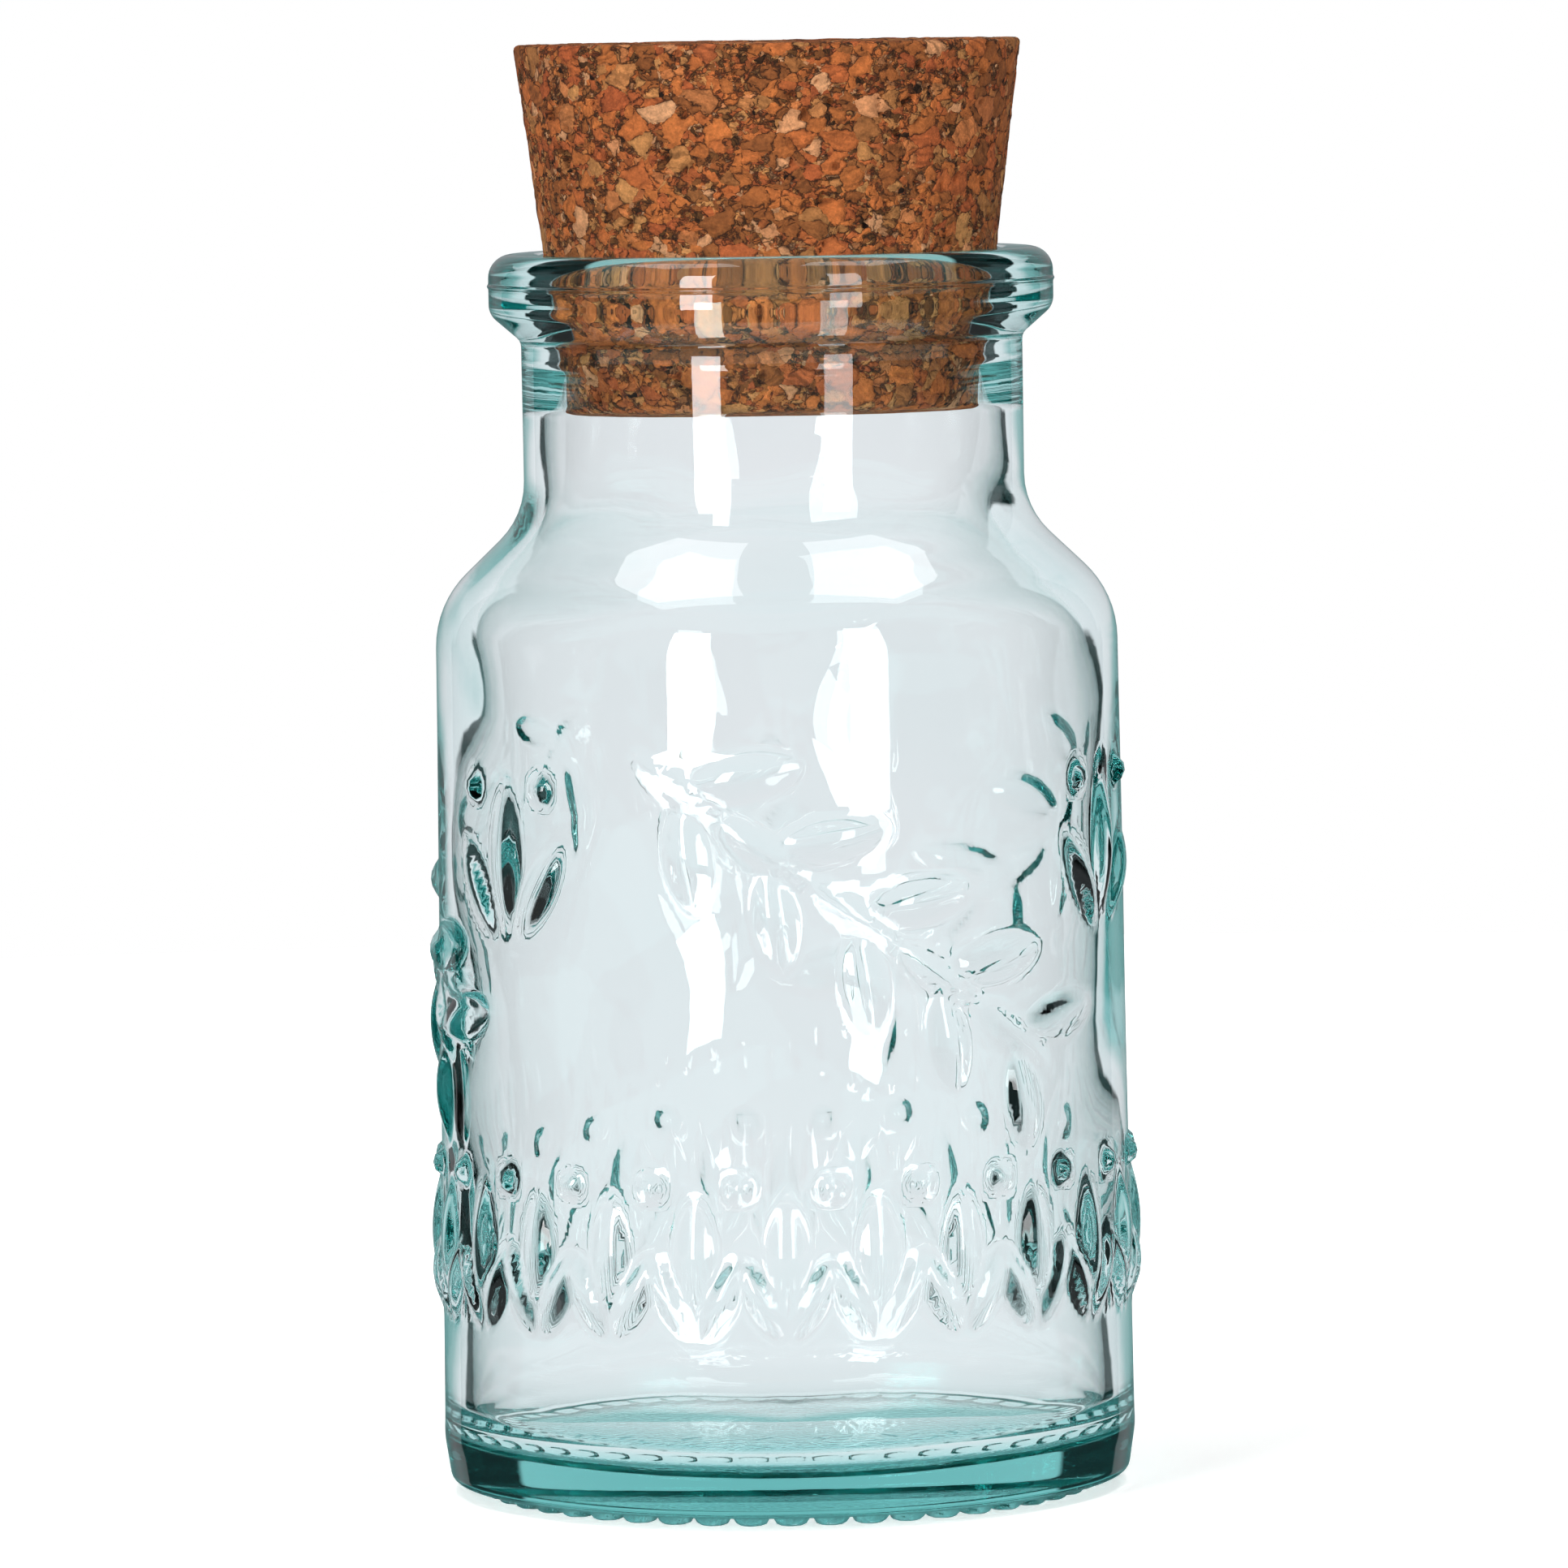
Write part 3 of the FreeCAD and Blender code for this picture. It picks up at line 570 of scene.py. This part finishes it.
def make_glass(shape, ornament, stopper, material):
    """The glass as one closed skin: a turned outside with ornament and beads, and a turned inside.

    The outside has four columns to each column of the inside, and faces of seven corners join them at the
    lip.
    """
    ratio, bead_columns = 4, 8
    columns = shape.bead_count * bead_columns
    inner_columns = columns // ratio
    azimuth = FULL_TURN * np.arange(columns) / columns
    outline = outer_outline(shape, ornament)
    radius = outline[1:, 0, None]
    height = outline[1:, 1, None]
    # Ornament and unevenness begin above the heel and end below the rim
    above_heel = 1.5 * shape.heel_height
    on_body = smooth_step(height, shape.heel_height, above_heel)
    on_body = on_body * (1 - smooth_step(height, shape.neck_height, shape.rim_under_height))
    stand = np.where(on_body > 0, relief_height(shape, ornament, azimuth, height), 0)
    seam = shape.seam_rise * np.exp(-((height - shape.seam_height) / shape.seam_half_width) ** 2)
    seam = np.where(radius > shape.neck_radius, seam, 0)
    # The ripples seldom pass two, and less that much they only sink the outside
    outer_wave, highest = 30 * MM, 2
    uneven = shape.outer_ripple * (ripples(azimuth, height, outer_wave, seed=4) - highest) * on_body
    under = height < shape.foot_height + shape.heel_round / 2
    under = under & (radius < shape.bead_ring_radius + 2 * shape.bead_radius)
    drop = np.where(under, bead_drop(shape, radius, azimuth), 0)
    outside = turned_points(radius + stand + seam + uneven, np.maximum(height - drop, 0), azimuth)

    # The inside is even in the bore, and its swell grows from the floor upwards
    inner_wave, bore_margin = 22 * MM, 6 * MM
    full_swell = 6 * shape.floor_middle_height
    taper = (stopper.top_radius - stopper.bottom_radius) / (CORK_TOP - CORK_BOTTOM)
    bore = inner_outline(shape, taper)
    inner_azimuth = azimuth[::ratio]
    inner_radius = bore[:-1, 0, None]
    inner_height = bore[:-1, 1, None]
    below_bore = 1 - smooth_step(inner_height, shape.neck_height, shape.rim_under_height - bore_margin)
    swell = shape.inner_ripple * ripples(inner_azimuth, inner_height, inner_wave, seed=9) * below_bore
    swell = swell * smooth_step(inner_height, shape.floor_middle_height, full_swell)
    inside = turned_points(inner_radius + swell, inner_height, inner_azimuth)

    outer_rows, inner_rows = len(outside), len(inside)
    first_inner = outer_rows * columns
    points = np.concatenate([
        outside.reshape(-1, 3), inside.reshape(-1, 3), [[0, 0, outline[0, 1]], [0, 0, bore[-1, 1]]]
    ])
    under_pole, floor_pole = len(points) - 2, len(points) - 1
    coarse = np.arange(inner_columns)
    lip = first_inner - columns
    join = [lip + (ratio * coarse + k) % columns for k in range(ratio + 1)]
    join += [first_inner + (coarse + 1) % inner_columns, first_inner + coarse]
    faces = [
        fan_faces(under_pole, 0, columns)[:, ::-1],
        ring_faces(0, outer_rows, columns),
        np.stack(join, axis=-1),
        ring_faces(first_inner, inner_rows, inner_columns),
        fan_faces(floor_pole, first_inner + (inner_rows - 1) * inner_columns, inner_columns),
    ]
    # The mould leaves a fine stipple on the underside, inside the ring of beads
    stipple = np.zeros(len(points))
    hollow = np.flatnonzero(under[:, 0] & (radius[:, 0] < shape.foot_inner_radius))
    stipple[:(hollow.max() + 1) * columns] = 1
    stipple[under_pole] = 1
    return put_object("jar_glass", points, faces, material, stipple=stipple)


def large_granules(points, stopper, seed):
    """Which large granule is nearest to each point, and how far inside it the point lies.

    Seeds lie one in each cube of the spacing, shifted at random. Round each is a block with rounded corners,
    turned at random: the sum of the fourth powers of its three coordinates, each over its own half width, is
    one on the block's skin. The depth inside is one less the fourth root of that sum, times the mean half
    width, and is negative between blocks. A share of the places stays empty.
    """
    draw = np.random.default_rng(seed)
    margin = 1
    low = points.min(axis=0)
    cell = np.floor((points - low) / stopper.granule_spacing).astype(int) + margin
    shape = tuple(cell.max(axis=0) + margin + 1)
    corner = np.stack(np.meshgrid(*[np.arange(n) for n in shape], indexing="ij"), axis=-1)
    seeds = low + (corner - margin + draw.random(corner.shape)) * stopper.granule_spacing
    turns = np.linalg.qr(draw.normal(size=(*shape, 3, 3)))[0]
    half = draw.uniform(stopper.granule_smallest, stopper.granule_largest, (*shape, 3)) / 2
    half[draw.random(shape) > stopper.granule_share] = stopper.edge_width
    best = np.full(len(points), -np.inf)
    second = np.full(len(points), -np.inf)
    owner = np.zeros(len(points), int)
    for step in np.ndindex(3, 3, 3):
        index = tuple((cell + np.array(step) - margin).T)
        local = np.einsum("ij,ijk->ik", points - seeds[index], turns[index])
        reach = ((local / half[index]) ** 4).sum(axis=1) ** 0.25
        depth = (1 - reach) * half[index].mean(axis=1)
        deeper = depth > best
        second = np.where(deeper, best, np.maximum(second, depth))
        owner = np.where(deeper, np.ravel_multi_index(index, shape), owner)
        best = np.where(deeper, depth, best)
    return owner, np.minimum(best, best - second), seeds.reshape(-1, 3), draw


def wobble(points, wave, seed):
    """Smooth random shift of about one in each direction: sums of sines of random directions."""
    draw = np.random.default_rng(seed)
    total = np.zeros_like(points)
    waves = 12
    for _ in range(waves):
        direction = draw.normal(size=3)
        direction *= FULL_TURN / wave / np.linalg.norm(direction)
        phase = draw.uniform(0, FULL_TURN, 3)
        total += np.sin((points @ direction)[:, None] + phase)
    return total * math.sqrt(2 / waves)


def make_stopper(stopper, material):
    """The cork: a turned frustum, sunk along its normal by a depth that changes from place to place.

    On a large granule the depth is the granule's own, and grows with the distance from its middle along its
    slope. Between granules, in the matrix, it is that of the gap, made uneven, and of the pits.
    """
    columns = 480
    azimuth = FULL_TURN * np.arange(columns) / columns
    fine = 0.30 * MM
    face_edge = 0.9 * stopper.top_radius
    outline = rounded_outline([
        (0, CORK_BOTTOM, 0, 4 * fine),
        (stopper.bottom_radius, CORK_BOTTOM, stopper.bottom_round, fine),
        (stopper.top_radius, CORK_TOP, stopper.top_round, fine),
        (face_edge, CORK_TOP, 0, 2 * fine),
        (0, CORK_TOP, 0, 2 * fine),
    ])[1:-1]
    along = np.gradient(outline, axis=0)
    along /= np.linalg.norm(along, axis=1)[:, None]
    normal = np.stack([along[:, 1], -along[:, 0]], axis=-1)
    cut = turned_points(outline[:, :1], outline[:, 1:], azimuth).reshape(-1, 3)
    out = turned_points(normal[:, :1], normal[:, 1:], azimuth).reshape(-1, 3)

    # Granules have ragged edges, lie at uneven depths and lean a little
    ragged, ragged_wave, tilt = 0.16 * MM, 1.3 * MM, 0.06
    rough = wobble(cut, ragged_wave, seed=5)
    owner, inside, seeds, draw = large_granules(cut + ragged * rough, stopper, seed=21)
    sunk = draw.random(len(seeds))[owner] * stopper.unevenness
    slope = tilt * draw.normal(size=seeds.shape)
    lean = np.abs(np.einsum("ij,ij->i", slope[owner], cut - seeds[owner]))
    matrix = 1 - smooth_step(inside, -stopper.edge_width, stopper.edge_width)

    # Bits have broken out between granules where a slow wobble with some of the rough is high
    pit_wave, pit_edge, pit_floor = 2.4 * MM, 1.5, 2.0
    pit_rough, bit_rough = 0.5, 0.3
    pits = smooth_step(wobble(cut, pit_wave, seed=8)[:, 0] + pit_rough * rough[:, 1], pit_edge, pit_floor)
    bits = stopper.gap_depth * (1 + bit_rough * rough[:, 2])
    depth = (sunk + lean) * (1 - matrix) + (bits + stopper.pit_depth * pits) * matrix
    skin = cut - out * np.clip(depth, 0, 2 * stopper.pit_depth)[:, None]

    rows = len(outline)
    points = np.concatenate([skin, [[0, 0, CORK_BOTTOM], [0, 0, CORK_TOP]]])
    bottom_pole, top_pole = len(points) - 2, len(points) - 1
    faces = [
        fan_faces(bottom_pole, 0, columns)[:, ::-1],
        ring_faces(0, rows, columns),
        fan_faces(top_pole, (rows - 1) * columns, columns),
    ]
    pit = np.concatenate([pits * matrix, [0, 0]])
    return put_object("cork_stopper_agglomerate", points, faces, material, pit=pit)


def recycled_glass(finish):
    """Pressed recycled glass, fire polished: clear and nearly colourless through the wall, with the
    blue-green of iron where it is thick, a faint orange peel from the mould, and a stippled underside."""
    material, add = new_nodes(bpy.data.materials, "recycled_glass")
    peel_size, peel_height = 3.0 * MM, 0.005
    stipple_size, stipple_height = 0.7 * MM, 0.15
    place = add("TexCoord").outputs["Object"]
    peel = add("TexNoise", Vector=place, Scale=1 / peel_size, Detail=1.0, Roughness=0.4)
    dots = add("TexNoise", Vector=place, Scale=1 / stipple_size, Detail=1.0)
    under = add("Attribute", attribute_name="stipple").outputs["Fac"]
    deep = add("Math MULTIPLY", under, stipple_height)
    smooth = add("Math MULTIPLY", peel, peel_height)
    skin = add("Math MULTIPLY_ADD", dots, deep, smooth)
    bump = add("Bump", Height=skin, Strength=1.0, Distance=MM)
    surface = add(
        "BsdfPrincipled", Base_Color=WHITE, Roughness=0.0, IOR=1.52, Transmission_Weight=1.0, Normal=bump
    )
    body = add("VolumeAbsorption", Color=finish.glass_tint, Density=32.0)
    add("OutputMaterial", Surface=surface, Volume=body)
    return material


def agglomerated_cork(finish):
    """Agglomerated cork, turned and sanded: granules of several sizes from brown to pale pink, some with
    the growth rings of the bark, pressed together with thin gaps in painted shade, and all of it matt."""
    material, add = new_nodes(bpy.data.materials, "agglomerated_cork")
    place = add("TexCoord").outputs["Object"]
    pit = add("Attribute", attribute_name="pit").outputs["Fac"]

    # The block was pressed from above, so granules lie flat, and broken edges run out of true
    rag_size, rag_reach = 1.5 * MM, 1.5 * MM
    pressed = (1.0, 1.0, 1.3)
    middle_grey = (0.5, 0.5, 0.5)
    flat = add("VectorMath MULTIPLY", place, pressed)
    rag = add("TexNoise", Vector=flat, Scale=1 / rag_size, Detail=4.0, Roughness=0.6)
    centred = add("VectorMath SUBTRACT", rag.outputs["Color"], middle_grey)
    shift = add("VectorMath SCALE", centred, rag_reach)
    moved = add("VectorMath ADD", flat, shift)

    # Granules of four sizes in millimetres, each with the share that is broken into the sizes before it
    largest_bit = 1.0
    tone = edge = grain = bit = None
    for size, broken in ((0.45, 0.0), (0.8, 0.4), (1.5, 0.45), (2.7, 0.68)):
        scale = 1 / (size * MM)
        pick = add("TexVoronoi", Vector=moved, Scale=scale).outputs["Color"]
        shares = add("SeparateColor", pick).outputs
        border = add("TexVoronoi", Vector=moved, Scale=scale, feature="DISTANCE_TO_EDGE").outputs["Distance"]
        border = add("Math MULTIPLY", border, size)
        small = float(size < largest_bit)
        if tone is None:
            tone, edge, grain, bit = shares[0], border, pick, small
            continue
        whole = add("Math GREATER_THAN", shares[1], broken)
        nearest = add("Math MINIMUM", edge, border)
        tone = add("Mix", whole, tone, shares[0])
        edge = add("Mix", whole, nearest, border)
        bit = add("Mix", whole, bit, small)
        grain = add("Mix", whole, grain, pick, data_type="RGBA")

    brown, orange, red = finish.cork_brown, finish.cork_orange, finish.cork_red
    tan, pink = finish.cork_tan, finish.cork_pink
    granule_stops = [
        (0.0, brown), (0.10, brown), (0.20, orange), (0.34, red), (0.48, orange), (0.60, brown), (0.72, tan),
        (0.82, red), (0.92, orange), (1.0, pink),
    ]
    # Small bits run darker than whole granules: their darkest share takes the painted shade colour of the
    # gaps, the rest their own tones
    bit_stops = [
        (0.0, finish.cork_gap_shade), (0.06, finish.cork_dark), (0.22, brown), (0.42, red), (0.60, orange),
        (0.76, tan), (0.86, brown), (1.0, pink),
    ]
    granule_colour = add("ValToRGB", tone, stops=granule_stops)
    bit_colour = add("ValToRGB", tone, stops=bit_stops)
    body = add("Mix", bit, granule_colour, bit_colour, data_type="RGBA")

    # Growth rings across the grain, strong on some granules, soft blotches, and a fine mottle of cells
    ring_width, blotch_size, cell_size = 0.42 * MM, 1.1 * MM, 0.26 * MM
    noise_low, noise_high, ring_high = 0.3, 0.7, 0.6
    ring_shades, blotch_shades, cell_shades = (0.60, 1.12), (0.74, 1.26), (0.76, 1.22)
    lie = add("VectorMath SUBTRACT", grain, middle_grey)
    lie = add("VectorMath NORMALIZE", lie)
    along = add("VectorMath DOT_PRODUCT", moved, lie)
    rings = add("TexNoise", W=along, Scale=1 / ring_width, Detail=2.0, noise_dimensions="1D")
    blotches = add("TexNoise", Vector=moved, Scale=1 / blotch_size, Detail=2.0)
    cells = add("TexNoise", Vector=place, Scale=1 / cell_size, Detail=3.0, Roughness=0.65)
    ringed = add("MapRange", rings, noise_low, ring_high, *ring_shades)
    blotched = add("MapRange", blotches, noise_low, noise_high, *blotch_shades)
    mottled = add("MapRange", cells, noise_low, noise_high, *cell_shades)
    ring_share = add("SeparateColor", grain).outputs[2]
    shade = add("Mix", ring_share, 1.0, ringed)
    for factor in (blotched, mottled):
        shade = add("Math MULTIPLY", shade, factor)
    shaded = add("VectorMath SCALE", body, shade)

    # Painted shade in the gaps between granules, their width in millimetres, wider in some patches and
    # closed in others, and painted shade in the pits
    patch_size, patch_low, patch_high = 0.8 * MM, 0.44, 0.70
    narrowest, widest, darkest = 0.004, 0.20, 0.88
    patches = add("TexNoise", Vector=place, Scale=1 / patch_size, Detail=3.0)
    gap_width = add("MapRange", patches, patch_low, patch_high, narrowest, widest)
    gap = add("MapRange", edge, 0.0, gap_width, darkest, 0.0)
    pit_shade = add("Math MULTIPLY", pit, patches)
    dark = add("Math MAXIMUM", gap, pit_shade)
    # Gaps and pits take the colour of the painted shade
    seen = add("Mix", dark, shaded, finish.cork_gap_shade, data_type="RGBA")

    # Granules stand proud with rounded edges, and their cut face is finely pored
    dome_width, relief_depth = 0.35, 0.12 * MM
    dome = add("MapRange", edge, From_Max=dome_width, interpolation_type="SMOOTHSTEP")
    sunk = add("Math SUBTRACT", dome, gap)
    relief = add("Math ADD", cells, sunk)
    bump = add("Bump", Height=relief, Strength=1.0, Distance=relief_depth)
    surface = add("BsdfPrincipled", Base_Color=seen, Roughness=0.9, IOR=1.40, Normal=bump)
    add("OutputMaterial", Surface=surface)
    return material


def studio_floor(studio, finish, shape):
    """Matt white paper: it takes the jar's shadow, shows as white to the camera and through the glass, and
    under the jar's foot, seen through the glass, glows with painted light, the colour of the light that
    comes down through the foot."""
    material, add = new_nodes(bpy.data.materials, "white_paper")
    foot = shape.body_base_radius
    path = add("LightPath").outputs
    place = add("TexCoord").outputs["Object"]
    away = add("VectorMath LENGTH", place)
    share = add("MapRange", away, From_Max=foot)
    # Painted light: under the foot the paper glows in the colour of light come down through the foot, paler
    # towards its edge
    lit_stops = [
        (0.0, finish.under_foot), (0.6, finish.under_foot), (0.85, finish.foot_edge), (1.0, finish.backdrop)
    ]
    lit = add("ValToRGB", share, stops=lit_stops)

    # Lit a little more towards its edge, so that it meets the white backdrop without a line
    near, far = 2 * foot, 5 * foot
    near_glow, far_glow = 0.48, 1.0
    glow = add("MapRange", away, near, far, near_glow, far_glow)
    lift = add("Math MULTIPLY", path["Is Camera Ray"], glow)
    paper = add(
        "BsdfPrincipled", Base_Color=finish.floor, Roughness=1.0, Specular_IOR_Level=0.0,
        Emission_Color=WHITE, Emission_Strength=lift,
    )

    # Light mirrored in the glass sees the floor by its turn from straight behind the jar's side
    clear_of_foot = 1.5 * foot
    beyond = add("MapRange", away, foot, clear_of_foot)
    mirrored = add("Math GREATER_THAN", path["Glossy Depth"], ONE_BOUNCE)
    mirrored = add("Math MULTIPLY", mirrored, beyond)
    split = add("SeparateXYZ", place).outputs
    aside = add("Math ABSOLUTE", split["X"])
    aside = add("Math SUBTRACT", aside, foot)
    turn = add("Math ARCTAN2", aside, split["Y"])
    turn = add("Math ABSOLUTE", turn)
    guided = guided_light(add, turn, studio, finish)
    through = add("Mix", mirrored, lit, guided, data_type="RGBA")
    white = add("Emission", Color=through, Strength=1.0)
    seen = add("MixShader", path["Is Transmission Ray"], paper, white)
    add("OutputMaterial", Surface=seen)
    return material


def make_floor(studio, material):
    """A round floor: rings whose radius grows, closed by a fan at the middle."""
    columns = 96
    ring_shares = [[0.25], [0.5], [1.0]]
    azimuth = FULL_TURN * np.arange(columns) / columns
    radius = studio.floor_radius * np.array(ring_shares)
    rings = turned_points(radius, np.zeros_like(radius), azimuth)
    points = np.concatenate([rings.reshape(-1, 3), [[0, 0, 0]]])
    faces = [ring_faces(0, len(rings), columns)[:, ::-1], fan_faces(len(points) - 1, 0, columns)]
    floor = put_object("studio_floor", points, faces, material)
    # Mirrored in the glass, the dark room below the table's edge takes the floor's place
    floor.visible_glossy = False
    return floor


def make_world(studio, finish):
    """The room: white to the camera, a plain fill, and for the glass a white backdrop with dark sides."""
    bpy.context.scene.world, add = new_nodes(bpy.data.worlds, "studio_room")
    path = add("LightPath").outputs
    split = add("SeparateXYZ", add("TexCoord").outputs["Generated"]).outputs
    aside = add("Math ABSOLUTE", split["X"])
    turn = add("Math ARCTAN2", aside, split["Y"])
    soft = math.radians(1)
    side_level, top_level, wing_level = 0.03, 0.05, 0.35

    # Above the horizon, where the foot sends its light, the backdrop reaches a little further
    reach = add(
        "MapRange", split["Z"], -soft, 0.0, studio.backdrop_half_width, studio.backdrop_upper_half_width
    )
    past = add("Math SUBTRACT", turn, reach)
    behind = add("MapRange", past, -soft, soft, 1.0, side_level, interpolation_type="SMOOTHSTEP")
    front, front_level = studio.front_start, studio.front_level
    before = add(
        "MapRange", turn, front - soft, front + soft, 0.0, front_level, interpolation_type="SMOOTHSTEP"
    )
    top, foot = math.sin(studio.backdrop_top), math.sin(studio.backdrop_foot)
    half = (top - foot) / 2
    above = add("Math SUBTRACT", split["Z"], (top + foot) / 2)
    off = add("Math ABSOLUTE", above)
    level = add("MapRange", off, half, half + 4 * soft, 1.0, top_level, interpolation_type="SMOOTHSTEP")
    low = add("Math MULTIPLY", behind, level)
    sides = add("Math MAXIMUM", low, before)

    # The outside mirrors the dim wings of the backdrop, which keeps the glass's edges from washing out
    wings = add("MapRange", path["Is Reflection Ray"], To_Min=1.0, To_Max=wing_level)
    sides = add("Math MULTIPLY", sides, wings)
    guided = guided_light(add, turn, studio, finish)
    white_height = 0.06
    rise = add("MapRange", split["Z"], From_Max=white_height)
    turned = add("Math GREATER_THAN", path["Glossy Depth"], ONE_BOUNCE)
    turned = add("Math SUBTRACT", turned, rise, use_clamp=True)
    through = add("Mix", turned, finish.backdrop, guided, data_type="RGBA")
    cards = add("Background", Color=through, Strength=sides)
    plain = add("Background", Color=WHITE, Strength=studio.fill)
    white = add("Background", Color=WHITE, Strength=1.0)
    glassy = add("Math MAXIMUM", path["Is Transmission Ray"], path["Is Glossy Ray"])
    direct = add("Math GREATER_THAN", ONE_BOUNCE, path["Diffuse Depth"])
    mirrored = add("Math MULTIPLY", glassy, direct)
    bounced = add("MixShader", mirrored, plain, cards)
    all_rays = add("MixShader", path["Is Camera Ray"], bounced, white)
    add("OutputWorld", Surface=all_rays)


def add_lamp(name, width, height, radiance, place):
    """A rectangular softbox, whose power is its brightness times pi times its area."""
    lamp = bpy.data.lights.new(name, "AREA")
    lamp.shape = "RECTANGLE"
    lamp.size = width
    lamp.size_y = height
    lamp.energy = radiance * math.pi * width * height
    holder = bpy.data.objects.new(name, lamp)
    holder.matrix_world = place
    holder.visible_camera = False
    bpy.context.scene.collection.objects.link(holder)


def make_lights(studio):
    """At each side an upright softbox beside the camera, turned to the jar, and a lamp overhead."""
    for side, name in ((-1, "left"), (1, "right")):
        turn = Matrix.Rotation(side * studio.softbox_azimuth, 4, "Z")
        stand = Matrix.Translation((0, -studio.softbox_distance, studio.softbox_height / 2))
        upright = Matrix.Rotation(math.pi / 2, 4, "X")
        radiance = studio.softbox_radiance * (studio.right_share if side > 0 else 1)
        add_lamp(
            "softbox_" + name, studio.softbox_width, studio.softbox_height, radiance, turn @ stand @ upright
        )
        over = Matrix.Translation((side * studio.overhead_offset, 0, studio.overhead_height))
        add_lamp(
            "overhead_" + name, studio.overhead_width, studio.overhead_length, studio.overhead_radiance, over
        )


def make_camera(studio):
    """The photograph's viewpoint: level distance, height, pitch, yaw and roll."""
    lens = bpy.data.cameras.new("camera")
    lens.sensor_width = 36.0
    lens.lens = studio.camera_lens
    camera = bpy.data.objects.new("camera", lens)
    stand = Matrix.Translation((0, -studio.camera_distance, studio.camera_height))
    yaw = Matrix.Rotation(-studio.camera_yaw, 4, "Z")
    pitch = Matrix.Rotation(math.pi / 2 - studio.camera_pitch, 4, "X")
    roll = Matrix.Rotation(-studio.camera_roll, 4, "Z")
    camera.matrix_world = stand @ yaw @ pitch @ roll
    bpy.context.scene.collection.objects.link(camera)
    bpy.context.scene.camera = camera


class JAR_OT_glass(bpy.types.Operator):
    """Build the glass jar with its ornament and resting beads"""

    bl_idname = "jar.build_glass"
    bl_label = "Build glass"

    def execute(self, context):
        scene = context.scene
        glass = make_glass(
            scene.jar_shape, scene.jar_ornament, scene.jar_stopper, recycled_glass(scene.jar_finish)
        )
        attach(glass, "jar")
        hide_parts("glass_jar")
        return {"FINISHED"}


class JAR_OT_stopper(bpy.types.Operator):
    """Build the cork stopper with its granules"""

    bl_idname = "jar.build_stopper"
    bl_label = "Build stopper"

    def execute(self, context):
        scene = context.scene
        cork = make_stopper(scene.jar_stopper, agglomerated_cork(scene.jar_finish))
        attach(cork, "stopper")
        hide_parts("cork_stopper")
        return {"FINISHED"}


class JAR_OT_stage(bpy.types.Operator):
    """Build the floor, the room, the lights and the camera"""

    bl_idname = "jar.build_stage"
    bl_label = "Build studio"

    def execute(self, context):
        scene = context.scene
        studio = scene.jar_studio
        scene.view_settings.view_transform = "Standard"
        scene.cycles.max_bounces = LIGHT_BOUNCES
        scene.cycles.glossy_bounces = LIGHT_BOUNCES
        scene.cycles.transmission_bounces = LIGHT_BOUNCES
        scene.cycles.blur_glossy = 0.0
        make_floor(studio, studio_floor(studio, scene.jar_finish, scene.jar_shape))
        make_world(studio, scene.jar_finish)
        make_lights(studio)
        make_camera(studio)
        return {"FINISHED"}


class JAR_PT_panel(bpy.types.Panel):
    """Lists the steps that build the jar"""

    bl_idname = "JAR_PT_panel"
    bl_label = "Glass jar with cork stopper"
    bl_space_type = "VIEW_3D"
    bl_region_type = "UI"
    bl_category = "Jar"

    def draw(self, context):
        for operator in OPERATORS:
            self.layout.operator(operator.bl_idname)


OPERATORS = (JAR_OT_glass, JAR_OT_stopper, JAR_OT_stage)
GROUPS = {
    "jar_shape": JarShape,
    "jar_ornament": JarOrnament,
    "jar_stopper": StopperShape,
    "jar_finish": JarFinish,
    "jar_studio": StudioSettings,
}


def register():
    for group in GROUPS.values():
        bpy.utils.register_class(group)
    for name, group in GROUPS.items():
        setattr(bpy.types.Scene, name, bpy.props.PointerProperty(type=group))
    for part in (*OPERATORS, JAR_PT_panel):
        bpy.utils.register_class(part)


def unregister():
    for part in (JAR_PT_panel, *reversed(OPERATORS)):
        bpy.utils.unregister_class(part)
    for name in GROUPS:
        delattr(bpy.types.Scene, name)
    for group in reversed(GROUPS.values()):
        bpy.utils.unregister_class(group)


def main():
    register()
    bpy.ops.jar.build_glass()
    bpy.ops.jar.build_stopper()
    bpy.ops.jar.build_stage()


if __name__ == "__main__":
    main()
